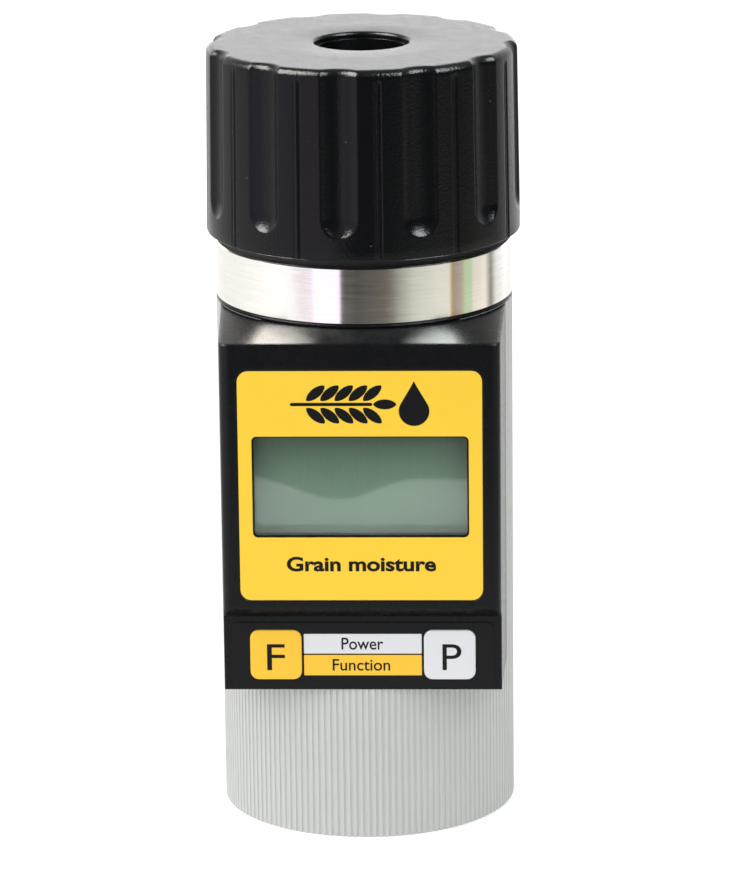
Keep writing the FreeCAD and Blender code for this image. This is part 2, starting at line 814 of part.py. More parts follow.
def front_casing():
    """The front housing for the display and keys, screwed to the tube from inside."""
    outer = casing_outer()
    low = dim("casing_bottom")
    top = dim("tube_top")
    cavity_half = dim("casing_cavity_half_width")
    wall = dim("casing_wall")
    display_back = -DISPLAY_WALL_BACK
    panel_back = -(PANEL_FRONT - PANEL_WALL)

    beyond = 1
    step_reach = 40
    keypad_step = doc.addObject("PartDesign::Body", "keypad_step")
    sketch = new_sketch(keypad_step, "YZ_Plane", -step_reach)
    draw_outline(sketch, [(-FRONT - beyond, low - beyond), (-PANEL_FRONT, low - beyond),
                          (-PANEL_FRONT, dim("panel_top")), (-FRONT, dim("panel_slope_top")),
                          (-FRONT - beyond, dim("panel_slope_top"))])
    feature(keypad_step, "Pad", "step", Profile=sketch, Length=step_reach * 2)

    tube_seat = rod("tube_seat", dim("tube_radius") + GAP, (0, 0, low - beyond), top - low + beyond * 2)
    window_half = dim("window_half_width") - GAP
    past_front = 60
    within_window = box("within_window", (-window_half, -past_front, low - beyond * 2),
                        (window_half * 2, past_front, top - low + beyond * 4))
    side_seat = doc.addObject("Part::Cut", "side_seat")
    side_seat.Base = tube_seat
    side_seat.Tool = within_window
    bore = rod("casing_bore", TUBE_BORE, (0, 0, low - beyond), top - low + beyond * 2)
    cavity_low = dim("panel_slope_top") + 0.6
    cavity_top = 127.5
    cavity_front = 5
    display_cavity = box("display_cavity", (-cavity_half, display_back, cavity_low),
                         (cavity_half * 2, DISPLAY_WALL_BACK - cavity_front, cavity_top - cavity_low))
    panel_cavity = box("panel_cavity", (-cavity_half, panel_back, low + PANEL_FLOOR),
                       (cavity_half * 2, PANEL_FRONT - PANEL_WALL - cavity_front, PANEL_CAVITY_HEIGHT))
    hollow = cut("casing_hollowed", outer, [keypad_step, side_seat, bore, display_cavity, panel_cavity])

    screw_boss = (3.2, 38.3, 3.9)
    bosses = [radial_rod(f"casing_boss_{index}", *screw_boss, *place)
              for index, place in enumerate(casing_screw_places())]
    board_boss_radius = 2.4
    for across, height in board_screw_places():
        start = (across, beyond - FRONT, height)
        bosses.append(rod(f"board_boss_{len(bosses)}", board_boss_radius, start,
                          FRONT - beyond - dim("board_front"), Vector(0, 1, 0)))
    filled = fuse("casing_filled", [hollow] + bosses)

    screw_pilot = (CASING_SCREW_RADIUS, 37.0, 4.4)
    tools = [radial_rod(f"casing_pilot_{index}", *screw_pilot, *place)
             for index, place in enumerate(casing_screw_places())]
    pilot_start = 3.5
    pilot_length = 6
    for across, height in board_screw_places():
        tools.append(rod(f"board_pilot_{len(tools)}", BOARD_SCREW_RADIUS,
                         (across, pilot_start - FRONT, height), pilot_length, Vector(0, 1, 0)))
    display_half = dim("display_half_width")
    bottom = dim("display_bottom")
    height = dim("display_top") - bottom
    tools.append(rounded_plate("display_opening", (-display_half, bottom, display_half, dim("display_top")),
                               DISPLAY_WALL_BACK - 1, wall + 2, dim("display_corner")))
    margin = dim("lens_margin") + GAP
    tools.append(box("lens_seat", (-display_half - margin, -LENS_FRONT - GAP, bottom - margin),
                     (display_half * 2 + margin * 2, wall + 1, height + margin * 2)))
    label_half = dim("label_half_width") + GAP
    tools.append(rounded_plate("label_seat", (-label_half, dim("label_bottom") - GAP, label_half,
                                              dim("label_top") + GAP),
                               FRONT - dim("label_thickness"), 2, dim("label_corner")))
    tools += key_openings("key_opening", PANEL_FRONT - 3, 5)
    return cut("front_casing", filled, tools)


def key_openings(label, back, depth):
    """Cutting blocks for the two key openings."""
    inner = dim("key_inner_edge") - GAP * 2
    outer_edge = KEY_OUTER_EDGE + GAP * 2
    low = dim("key_bottom") - GAP * 2
    high = KEY_TOP + GAP * 2
    sides = (("left", -outer_edge, -inner), ("right", inner, outer_edge))
    return [rounded_plate(f"{label}_{side}", (first, low, last, high), back, depth, dim("key_corner"))
            for side, first, last in sides]


def radial_screw_shape(head_radius, head_height, shank_radius, length):
    """A pan-head screw that stands on its head at the origin and points along +Z."""
    point_height = 1
    corners = [(0, 0), (head_radius, 0), (head_radius, head_height), (shank_radius, head_height),
               (shank_radius, length - point_height), (0, length)]
    edges = Part.makePolygon([Vector(radius, 0, height) for radius, height in corners + corners[:1]])
    return Part.Face(edges).revolve(Vector(), Vector(0, 0, 1), 360)


def casing_screws():
    """The four screws inside the tube that hold the casing."""
    item = doc.addObject("Part::Feature", "casing_screws")
    head_radius = 2.6
    head_height = 1.9
    length = 8.0
    seat = number_of(TUBE_BORE) - 2.2
    screws = []
    for angle, height in casing_screw_places():
        away = Vector(math.sin(math.radians(angle)), -math.cos(math.radians(angle)), 0)
        screw = radial_screw_shape(head_radius, head_height, CASING_SCREW_RADIUS, length)
        screw.Placement = Placement(away * seat + Vector(0, 0, height), Rotation(Vector(0, 0, 1), away))
        screws.append(screw)
    item.Shape = Part.makeCompound(screws)
    item.Label = "casing_screws"
    return item


def board_screws():
    """The four screws that hold the circuit board on the casing's bosses."""
    item = doc.addObject("Part::Feature", "board_screws")
    head_radius = 1.9
    head_height = 1.3
    length = 6.0
    screws = []
    for across, height in board_screw_places():
        screw = radial_screw_shape(head_radius, head_height, BOARD_SCREW_RADIUS, length)
        start = Vector(across, head_height - number_of(BOARD_BACK), height)
        screw.Placement = Placement(start, Rotation(Vector(0, 0, 1), Vector(0, -1, 0)))
        screws.append(screw)
    item.Shape = Part.makeCompound(screws)
    item.Label = "board_screws"
    return item


def face_label():
    """The coloured plate round the display."""
    half = dim("label_half_width")
    body = rounded_plate("face_label", (-half, dim("label_bottom"), half, dim("label_top")),
                         FRONT - dim("label_thickness"), dim("label_thickness"), dim("label_corner"))
    display_half = dim("display_half_width")
    opening = rounded_plate("label_opening", (-display_half, dim("display_bottom"), display_half,
                                              dim("display_top")), FRONT - 2, 4, dim("display_corner"))
    return cut("face_label", body, [opening])


def display_lens():
    """The clear window behind the opening."""
    margin = dim("lens_margin")
    half = dim("display_half_width") + margin
    corner = 1.0
    return rounded_plate("display_lens", (-half, dim("display_bottom") - margin, half,
                                          dim("display_top") + margin),
                         LENS_BACK, dim("lens_thickness"), corner)


def lcd_glass():
    """The liquid crystal cell, held behind the lens by its frame."""
    half, bottom, top = glass_edges()
    corner = 0.4
    return rounded_plate("lcd_glass", (-half, bottom, half, top),
                         dim("glass_front") - dim("glass_thickness"), dim("glass_thickness"), corner)


def glass_edges():
    """Half width, bottom and top of the liquid crystal cell."""
    side_margin = 0.9
    return (dim("display_half_width") + side_margin, dim("display_bottom") - dim("glass_margin"),
            dim("display_top") + dim("glass_margin"))


def lcd_frame():
    """The carrier of the display cell: a shroud from the lens back to the board."""
    body = new_body("lcd_frame")
    side_wall = 1.2
    end_wall = 1.1
    half, bottom, top = glass_edges()
    front = DISPLAY_WALL_BACK - GAP
    pad_forward(body, outline(box_points(-half - side_wall, bottom - end_wall,
                                         half + side_wall, top + end_wall)),
                dim("board_front"), front - dim("board_front"), "block")
    view = 0.2
    pocket_back(body, outline(box_points(-dim("display_half_width") - view, dim("display_bottom") - view,
                                         dim("display_half_width") + view, dim("display_top") + view)),
                front, front - dim("board_front"), "view")
    seat_front = dim("glass_front") + GAP
    pocket_back(body, outline(box_points(-half - GAP, bottom - GAP, half + GAP, top + GAP)),
                seat_front, seat_front - dim("board_front"), "cell_seat")
    return body


def zebra_strips():
    """Two rubber contact strips between the display cell and the board."""
    body = new_body("zebra_strips")
    width = 2.0
    end_margin = 3
    half, bottom, top = glass_edges()
    depth = dim("glass_front") - dim("glass_thickness") - dim("board_front")
    for low in (bottom, top - width):
        pad_forward(body, outline(box_points(-half + end_margin, low, half - end_margin, low + width)),
                    dim("board_front"), depth)
    return body


def main_board():
    """The circuit board, screwed to four bosses of the casing."""
    body = new_body("main_board")
    half = dim("board_half_width")
    hole_radius = 1.1
    pad_forward(body, outline(box_points(-half, dim("board_bottom"), half, dim("board_top"))),
                BOARD_BACK, dim("board_thickness"), "board")
    sketch = new_sketch(body, "XZ_Plane", dim("board_front"))
    for across, height in board_screw_places():
        draw_circle(sketch, (across, height), hole_radius)
    feature(body, "Pocket", "screw_holes", Profile=sketch, Length=dim("board_thickness") * 2)
    return body


def board_chips():
    """The microcontroller and the other parts on the back of the board."""
    body = new_body("board_chips")
    processor = (-16, 50, 10, 10, 1.4)
    regulator = (12, 52, 5, 4, 1.5)
    crystal = (12, 44.5, 8, 3.5, 2.2)
    driver = (-15, 76, 5, 4, 1.4)
    for left, low, width, height, depth in (processor, regulator, crystal, driver):
        pad_forward(body, outline(box_points(left, low, left + width, low + height)),
                    BOARD_BACK - depth, depth)
    return body


def key_centres():
    """Sideways places of the middles of the two keys."""
    middle = dim("key_inner_edge") + dim("key_width") / 2
    return (-middle, middle)


def key_switches():
    """Two low dome switches, one behind each key."""
    body = new_body("key_switches")
    height = dim("key_bottom") + dim("key_width") / 2
    half = 2.6
    dome_radius = 1.6
    for across in key_centres():
        pad_forward(body, outline(box_points(across - half, height - half, across + half, height + half)),
                    dim("board_front"), SWITCH_BASE)
        pad_forward(body, disc(dome_radius, (across, height)), dim("board_front") + SWITCH_BASE,
                    SWITCH_HEIGHT - SWITCH_BASE)
    return body


def keypad_overlay():
    """The thin printed sheet round the keys."""
    half = dim("overlay_half_width")
    body = rounded_plate("keypad_overlay", (-half, dim("overlay_bottom"), half, dim("overlay_top")),
                         PANEL_FRONT, dim("overlay_thickness"), dim("overlay_corner"))
    return cut("keypad_overlay", body, key_openings("overlay_opening", PANEL_FRONT - 2, 4))


def key(label, side):
    """A square key with a lip behind the panel that stops it coming out."""
    inner = dim("key_inner_edge")
    left, right = (inner, KEY_OUTER_EDGE) if side > 0 else (-KEY_OUTER_EDGE, -inner)
    front = PANEL_FRONT + dim("overlay_thickness") + dim("key_proud")
    lip_front = PANEL_FRONT - PANEL_WALL - GAP
    lip_back = dim("board_front") + SWITCH_HEIGHT + dim("key_switch_gap")
    body = rounded_plate(label, (left, dim("key_bottom"), right, KEY_TOP),
                         lip_back, front - lip_back, dim("key_corner"))
    lip = dim("key_lip")
    lip_outline = box_points(left - lip, dim("key_bottom") - lip, right + lip, KEY_TOP + lip)
    pad_forward(body, outline(lip_outline), lip_back, lip_front - lip_back, "lip")
    return body


# ---------------------------------------------------------------- measuring cell

def measuring_cup():
    """The metal cup that holds the grain: outer electrode, band and threaded neck."""
    body = new_body("measuring_cup")
    inner = dim("cup_inner_radius")
    band = dim("ring_radius")
    shoulder = dim("ring_top") - dim("ring_wall")
    bevel = 0.3
    mouth_bevel = 0.6
    revolve(body, [
        (inner, dim("cup_bottom")), (CUP_OUTER, dim("cup_bottom")), (CUP_OUTER, shoulder),
        (band - dim("ring_wall"), shoulder), (band - dim("ring_wall"), dim("ring_bottom")),
        (band, dim("ring_bottom")), (band, dim("ring_top") - bevel), (band - bevel, dim("ring_top")),
        (dim("neck_radius"), dim("ring_top")), (dim("neck_radius"), dim("neck_top")),
        (inner + mouth_bevel, dim("neck_top")), (inner, dim("neck_top") - mouth_bevel)])
    thread_ridge(body, dim("neck_radius"), dim("neck_radius") + dim("thread_depth"),
                 NECK_THREAD_START, THREAD_LENGTH)
    return body


def neck_ring():
    """The black ring between the tube and the cup's band, with a fine bead round it."""
    body = new_body("neck_ring")
    inner = CUP_OUTER + GAP * 2
    spigot = TUBE_BORE - GAP * 2
    rim = dim("ring_radius") - 0.4
    top = dim("ring_bottom")
    base = dim("tube_top")
    spigot_bottom = base - 7.5
    bead = rim + 0.35
    collar = dim("ring_radius") - dim("ring_wall") - GAP * 2
    collar_top = top + 4.2
    revolve(body, [
        (inner, spigot_bottom), (spigot, spigot_bottom), (spigot, base), (rim, base), (rim, base + 0.35),
        (bead, base + 0.5), (bead, base + 0.8), (rim, base + 0.95), (rim, top),
        (collar, top), (collar, collar_top), (inner, collar_top)])
    return body


def neck_seal():
    """The rubber ring under the cap's sleeve that keeps dust out."""
    body = new_body("neck_seal")
    inner = dim("neck_radius") + 0.15
    outer = dim("cap_bore_radius") - GAP
    top = SLEEVE_BOTTOM - GAP
    revolve(body, [(inner, dim("ring_top")), (outer, dim("ring_top")), (outer, top), (inner, top)])
    return body


def cell_floor():
    """The insulating floor of the cup."""
    body = new_body("cell_floor")
    plug = dim("cup_inner_radius") - GAP
    revolve(body, [(STUD_HOLE_RADIUS, FLOOR_FLANGE_BOTTOM), (CUP_OUTER, FLOOR_FLANGE_BOTTOM),
                   (CUP_OUTER, dim("cup_bottom")), (plug, dim("cup_bottom")),
                   (plug, FLOOR_TOP), (STUD_HOLE_RADIUS, FLOOR_TOP)])
    hole_depth = 8
    pocket_down(body, disc(SENSOR_RADIUS + GAP * 2, SENSOR_PLACE), FLOOR_TOP, hole_depth, "sensor_hole")
    return body


def cell_ring_nut():
    """The ring nut that holds the floor against the cup's lower edge."""
    body = new_body("cell_ring_nut")
    rim = dim("ring_nut_radius")
    lip_width = 2.5
    lip_thickness = 2
    overlap = 8
    bore = dim("cup_inner_radius") - lip_width
    lip_bottom = FLOOR_FLANGE_BOTTOM - lip_thickness
    top = dim("cup_bottom") + overlap
    wall = CUP_OUTER + GAP * 2
    revolve(body, [(bore, lip_bottom), (rim, lip_bottom), (rim, top), (wall, top),
                   (wall, FLOOR_FLANGE_BOTTOM), (bore, FLOOR_FLANGE_BOTTOM)])
    return body


def centre_electrode():
    """The inner electrode: a domed post on a threaded stud."""
    body = new_body("centre_electrode")
    post_radius = 6
    post_top = FLOOR_TOP + 25
    stud_bottom = 86.5
    bevel = 0.4
    dome_radius = 4.5
    revolve(body, [
        (0, stud_bottom), (STUD_RADIUS - bevel, stud_bottom), (STUD_RADIUS, stud_bottom + bevel),
        (STUD_RADIUS, FLOOR_TOP), (post_radius, FLOOR_TOP), (post_radius, post_top), (0, post_top)])
    round_edges(body, lambda edge: is_circle_at(edge, post_top), dome_radius, "dome")
    return body


def is_circle_at(edge, height):
    """True for a round edge at a height."""
    circle = edge.Curve.TypeId == "Part::GeomCircle"
    return circle and abs(edge.CenterOfMass.z - number_of(height)) < FLAT


def electrode_nut():
    """The hexagon nut on the electrode's stud."""
    body = new_body("electrode_nut")
    bottom = 88.8
    thickness = 3.4
    across_flats = 7
    corner = across_flats / math.sqrt(3)
    sketch = new_sketch(body, "XY_Plane", bottom)
    corners = [(corner * math.cos(math.radians(60 * turn)), corner * math.sin(math.radians(60 * turn)))
               for turn in range(6)]
    draw_outline(sketch, corners)
    draw_circle(sketch, (0, 0), STUD_RADIUS + GAP)
    feature(body, "Pad", "nut", Profile=sketch, Length=thickness)
    return body


def electrode_washer():
    """The washer that the electrode's lead is soldered to."""
    body = new_body("electrode_washer")
    rim = 5.6
    revolve(body, [(STUD_HOLE_RADIUS, WASHER_BOTTOM), (rim, WASHER_BOTTOM),
                   (rim, FLOOR_FLANGE_BOTTOM), (STUD_HOLE_RADIUS, FLOOR_FLANGE_BOTTOM)])
    return body


def temperature_sensor():
    """The probe in the cell's floor that reads the grain's temperature."""
    body = new_body("temperature_sensor")
    length = 9
    tip_radius = 1.5
    bottom = FLOOR_FLANGE_BOTTOM - 1
    pad_up(body, disc(SENSOR_RADIUS, SENSOR_PLACE), bottom, length, "probe")
    round_edges(body, lambda edge: is_circle_at(edge, bottom + length), tip_radius, "tip")
    return body


# ---------------------------------------------------------------- cap and plunger

def cap_shell():
    """The fluted grip of the cap, with the viewing hole in its top."""
    body = new_body("cap_shell")
    low = dim("cap_bottom")
    bevel = 0.35
    hole = dim("cap_hole_radius")
    hub_bore = dim("hub_bore_radius")
    hub_top = GUIDE_FLANGE_TOP + GAP * 2
    hub_bottom = GUIDE_FLANGE_BOTTOM - 6
    ceiling = CAP_TOP - dim("cap_top_wall")
    cavity = 35.0
    revolve(body, [
        (dim("cap_bore_radius"), low), (dim("cap_radius") - bevel, low), (dim("cap_radius"), low + bevel),
        (dim("cap_top_radius"), CAP_TOP), (hole, CAP_TOP), (hole, hub_top), (hub_bore, hub_top),
        (hub_bore, hub_bottom), (dim("hub_radius"), hub_bottom), (dim("hub_radius"), ceiling),
        (cavity, ceiling), (cavity, SLEEVE_TOP), (dim("cap_bore_radius"), SLEEVE_TOP)], "shell")
    hole_rounding = 0.9
    round_edges(body, lambda edge: is_circle_at(edge, CAP_TOP) and edge.Curve.Radius > cavity,
                dim("cap_rim_radius"), "rim")
    round_edges(body, lambda edge: is_circle_at(edge, CAP_TOP) and edge.Curve.Radius < cavity,
                hole_rounding, "hole_rim")
    cut_flutes(body)
    cut_steps(body)
    body.Placement = Placement(Vector(), Rotation(Vector(0, 0, 1), number_of(dim("flute_angle"))))
    return body


def cut_flutes(body):
    """Upright scoops round the cap. Each is a round bar with a ball end, leaning with the cap's draft."""
    low = number_of(dim("cap_bottom"))
    radius = number_of(dim("cap_radius"))
    half_width = number_of(dim("flute_width")) / 2
    depth = number_of(dim("flute_depth"))
    scoop = (half_width ** 2 + depth ** 2) / (2 * depth)
    foot = number_of(dim("flute_bottom")) + half_width
    past_top = 6
    height = number_of(CAP_TOP) + past_top - foot
    draft = math.atan2(radius - number_of(dim("cap_top_radius")), number_of(CAP_TOP) - low)
    middle = radius - (foot - low) * math.tan(draft) - depth + scoop
    lean = Vector(-math.sin(draft), math.cos(draft), 0)
    side = Vector(-math.cos(draft), -math.sin(draft), 0)
    centre = Vector(middle, foot, 0)
    pole = centre - lean * scoop
    equator = centre + side * scoop
    quarter = centre + (side - lean).normalize() * scoop
    sketch = new_sketch(body, "XZ_Plane")
    sketch.addGeometry([
        Part.Arc(pole, quarter, equator),
        Part.LineSegment(equator, equator + lean * height),
        Part.LineSegment(equator + lean * height, centre + lean * height),
        Part.LineSegment(centre + lean * height, pole)], False)
    sketch.addGeometry(Part.LineSegment(pole, centre + lean * height), True)
    flute = feature(body, "Groove", "flute", Profile=sketch)
    flute.ReferenceAxis = (sketch, ["Axis0"])
    flute.Angle = 360
    turned_pattern(body, [flute], dim("flute_count"), "flutes")


def cut_steps(body):
    """The low step beside each flute, where the grip's surface drops and rises back to the round."""
    lead = number_of(dim("step_angle")) - number_of(dim("flute_angle"))
    below = 1
    outward = 3
    past_run = 0.5
    profiles = []
    for height, radius in ((dim("cap_bottom") - below, dim("cap_radius")),
                           (dim("step_top"), dim("cap_top_radius"))):
        floor_radius = number_of(radius) - number_of(dim("step_depth"))
        run = math.sqrt(number_of(radius) ** 2 - floor_radius ** 2) + past_run
        sketch = new_sketch(body, "XY_Plane", height, lead)
        corners = [Vector(floor_radius, 0, 0), Vector(floor_radius + outward, 0, 0),
                   Vector(floor_radius + outward, run, 0), Vector(floor_radius, run, 0)]
        for first, second in zip(corners, corners[1:] + corners[:1]):
            sketch.addGeometry(Part.LineSegment(first, second), False)
        profiles.append(sketch)
    step = feature(body, "SubtractiveLoft", "step", Profile=profiles[0])
    step.Sections = profiles[1:]
    step.Ruled = True
    pattern = feature(body, "PolarPattern", "steps", Occurrences=dim("flute_count"))
    pattern.Originals = [step]
    pattern.Axis = (profiles[0], ["N_Axis"])
    pattern.Angle = 360


def thread_sleeve():
    """The threaded liner of the cap, which screws onto the cup's neck."""
    body = new_body("thread_sleeve")
    outer = dim("cap_bore_radius") - GAP
    revolve(body, [(SLEEVE_BORE, SLEEVE_BOTTOM), (outer, SLEEVE_BOTTOM), (outer, SLEEVE_TOP - GAP),
                   (SLEEVE_BORE, SLEEVE_TOP - GAP)])
    thread_ridge(body, SLEEVE_BORE, SLEEVE_BORE - dim("thread_depth"), CAP_THREAD_START, THREAD_LENGTH)
    return body


def plunger_guide():
    """The bush in the cap's hub. It stays still while the cap turns round it."""
    body = new_body("plunger_guide")
    flange = 15.9
    collar = dim("cap_hole_radius") - 0.09
    collar_top = CAP_TOP - 1.5
    bore = dim("indicator_radius") + 0.06
    stem_bore = dim("stem_radius") + GAP
    floor = STEM_TOP - 0.03
    revolve(body, [
        (stem_bore, dim("guide_bottom")), (GUIDE_RADIUS, dim("guide_bottom")),
        (GUIDE_RADIUS, GUIDE_FLANGE_BOTTOM), (flange, GUIDE_FLANGE_BOTTOM), (flange, GUIDE_FLANGE_TOP),
        (collar, GUIDE_FLANGE_TOP), (collar, collar_top), (bore, collar_top), (bore, floor),
        (stem_bore, floor)])
    return body


def guide_retainer():
    """The ring that keeps the guide in the cap's hub."""
    body = new_body("guide_retainer")
    inner = GUIDE_RADIUS + GAP * 2
    outer = dim("hub_bore_radius")
    top = GUIDE_FLANGE_BOTTOM - GAP * 2
    bottom = top - 4
    revolve(body, [(inner, bottom), (outer, bottom), (outer, top), (inner, top)])
    return body


def plunger_stem():
    """The rod from the pressure plate up through the guide."""
    body = new_body("plunger_stem")
    radius = dim("stem_radius")
    foot_radius = 8
    foot_top = PLATE_TOP + 2
    bore_bottom = STEM_TOP - 9
    revolve(body, [(0, PLATE_TOP), (foot_radius, PLATE_TOP), (foot_radius, foot_top), (radius, foot_top),
                   (radius, STEM_TOP), (INDICATOR_SCREW_RADIUS, STEM_TOP),
                   (INDICATOR_SCREW_RADIUS, bore_bottom), (0, bore_bottom)])
    return body


def pressure_plate():
    """The metal plate that presses on the grain."""
    body = new_body("pressure_plate")
    low = dim("plate_bottom")
    rim = dim("plate_radius")
    bevel = 0.6
    wall = rim - 1.5
    wall_top = PLATE_TOP + 2
    revolve(body, [(0, low), (rim - bevel, low), (rim, low + bevel), (rim, wall_top), (wall, wall_top),
                   (wall, PLATE_TOP), (0, PLATE_TOP)])
    return body


def indicator_disc():
    """The disc in the viewing hole, level with the cap's top at the right pressure."""
    body = new_body("indicator_disc")
    top = dim("indicator_top")
    rim = dim("indicator_radius")
    bevel = 0.4
    hole = 2.1
    sink = 2.2
    revolve(body, [(hole, STEM_TOP), (rim, STEM_TOP), (rim, top - bevel), (rim - bevel, top),
                   (hole + sink, top), (hole, top - sink)])
    return body


def indicator_screw():
    """The countersunk screw that holds the indicator disc on the stem."""
    body = new_body("indicator_screw")
    top = dim("indicator_top") - GAP
    neck = 1.95
    head = 4.1
    head_depth = 2.1
    bottom = STEM_TOP - INDICATOR_SCREW_DEPTH
    revolve(body, [(0, bottom), (INDICATOR_SCREW_RADIUS, bottom), (INDICATOR_SCREW_RADIUS, STEM_TOP),
                   (neck, STEM_TOP), (neck, top - head_depth), (head, top), (0, top)])
    slot_half_length = 2.2
    slot_half_width = 0.45
    slot_depth = 1.2
    for turn in (0, 90):
        sketch = new_sketch(body, "XY_Plane", dim("indicator_top"), turn)
        draw_outline(sketch, box_points(-slot_half_length, -slot_half_width,
                                        slot_half_length, slot_half_width))
        feature(body, "Pocket", "drive", Profile=sketch, Length=slot_depth)
    return body


def press_spring():
    """The coil spring that pushes the plate down against the grain."""
    body = new_body("press_spring")
    wire_radius = 0.9
    coil_radius = 10.2
    turns = 7
    flats = 12
    low = PLATE_TOP + wire_radius + GAP * 2
    height = dim("guide_bottom") - wire_radius - GAP * 2 - low
    sketch = new_sketch(body, "XZ_Plane")
    draw_outline(sketch, [(coil_radius + wire_radius * math.cos(math.radians(360 / flats * turn)),
                           low + wire_radius * math.sin(math.radians(360 / flats * turn)))
                          for turn in range(flats)])
    helix = feature(body, "AdditiveHelix", "coil", Profile=sketch)
    helix.ReferenceAxis = (sketch, ["V_Axis"])
    helix.Mode = 2
    bind(helix, "Height", height)
    helix.Turns = turns
    return body


# ---------------------------------------------------------------- build, check and write

def build():
    """Every piece of the meter, recomputed."""
    pieces = [
        body_tube(), base_plate(), base_screws(), battery_door(), door_pad(), battery_box(), battery(),
        battery_snap(), battery_leads(), front_casing(), casing_screws(), face_label(), display_lens(),
        lcd_glass(), lcd_frame(), zebra_strips(), main_board(), board_screws(), board_chips(),
        key_switches(), keypad_overlay(), key("key_f", -1), key("key_p", 1), measuring_cup(), neck_ring(),
        neck_seal(), cell_floor(), cell_ring_nut(), centre_electrode(), electrode_nut(),
        electrode_washer(), electrode_lead(), temperature_sensor(), cap_shell(), thread_sleeve(),
        plunger_guide(), guide_retainer(), plunger_stem(), pressure_plate(), indicator_disc(),
        indicator_screw(), press_spring()]
    doc.recompute()
    return pieces


def check_document():
    """Stop at the first feature that failed."""
    for item in doc.Objects:
        if "Invalid" in item.State or "Error" in item.State:
            raise RuntimeError(f"{item.Label} is {item.State}")


def write(pieces):
    """Check each piece and write it to parts/."""
    os.makedirs("parts", exist_ok=True)
    for piece in pieces:
        shape = piece.Shape
        if shape.isNull() or not shape.isValid() or not shape.Solids:
            raise RuntimeError(f"{piece.Label} has no valid solid")
        counts = f"solids {len(shape.Solids):2d} faces {len(shape.Faces):4d}"
        print(f"{piece.Label:20s} {counts} volume {shape.Volume:10.2f}")
        shape.exportStep(f"parts/{piece.Label}.step")


parts = build()
check_document()
write(parts)
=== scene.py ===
"""Looks of the grain moisture meter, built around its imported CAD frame. Lengths are in metres."""
import json
import math

import bmesh
import bpy
from mathutils import Matrix, Vector


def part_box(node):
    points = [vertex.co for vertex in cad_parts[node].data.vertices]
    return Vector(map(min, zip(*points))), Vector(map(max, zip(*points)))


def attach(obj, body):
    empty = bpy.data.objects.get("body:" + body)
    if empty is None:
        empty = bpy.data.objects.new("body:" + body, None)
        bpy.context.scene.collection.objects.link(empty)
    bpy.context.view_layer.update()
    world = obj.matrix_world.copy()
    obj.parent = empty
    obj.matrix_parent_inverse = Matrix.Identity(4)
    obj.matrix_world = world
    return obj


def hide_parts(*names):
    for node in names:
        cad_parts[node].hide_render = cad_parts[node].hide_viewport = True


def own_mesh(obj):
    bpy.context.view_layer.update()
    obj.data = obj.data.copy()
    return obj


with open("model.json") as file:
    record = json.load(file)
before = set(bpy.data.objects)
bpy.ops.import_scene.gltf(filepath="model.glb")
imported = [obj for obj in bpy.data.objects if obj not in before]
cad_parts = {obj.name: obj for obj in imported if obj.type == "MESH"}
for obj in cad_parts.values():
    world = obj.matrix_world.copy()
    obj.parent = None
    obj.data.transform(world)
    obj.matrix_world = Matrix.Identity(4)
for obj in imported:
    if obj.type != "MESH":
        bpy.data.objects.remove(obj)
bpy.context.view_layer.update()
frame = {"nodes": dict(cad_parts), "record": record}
MM = 0.001

# ------------------------------------------------------------------ places, all from the frame

CAP_LOW, CAP_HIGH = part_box("cap_shell")
SLEEVE_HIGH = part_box("thread_sleeve")[1]
RETAINER_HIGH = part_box("guide_retainer")[1]
SPRING_LOW, SPRING_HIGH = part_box("press_spring")
LABEL_LOW, LABEL_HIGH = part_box("face_label")
OVERLAY_LOW, OVERLAY_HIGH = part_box("keypad_overlay")
LENS_LOW, LENS_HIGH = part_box("display_lens")
KEY_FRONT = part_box("key_f")[0].y

# ------------------------------------------------------------------ camera

CAMERA_AZIMUTH = math.radians(2.16)
CAMERA_DISTANCE = 1.2277
CAMERA_HEIGHT = 0.4395
CAMERA_ROLL = math.radians(-0.654)
CAMERA_AIM = Vector((0.000616, 0.0, 0.0950))
CAMERA_LENS_MM = 201.45
CAMERA_SENSOR_MM = 36
CAMERA_REACH = 20


def make_camera():
    data = bpy.data.cameras.new("camera")
    data.lens = CAMERA_LENS_MM
    data.sensor_width = CAMERA_SENSOR_MM
    data.clip_end = CAMERA_REACH
    camera = bpy.data.objects.new("camera", data)
    bpy.context.scene.collection.objects.link(camera)
    place = Vector((math.sin(CAMERA_AZIMUTH), -math.cos(CAMERA_AZIMUTH), 0)) * CAMERA_DISTANCE
    place.z = CAMERA_HEIGHT
    turn = (CAMERA_AIM - place).to_track_quat("-Z", "Y").to_matrix().to_4x4()
    camera.matrix_world = Matrix.Translation(place) @ turn @ Matrix.Rotation(CAMERA_ROLL, 4, "Z")
    bpy.context.scene.camera = camera


# ------------------------------------------------------------------ node graphs

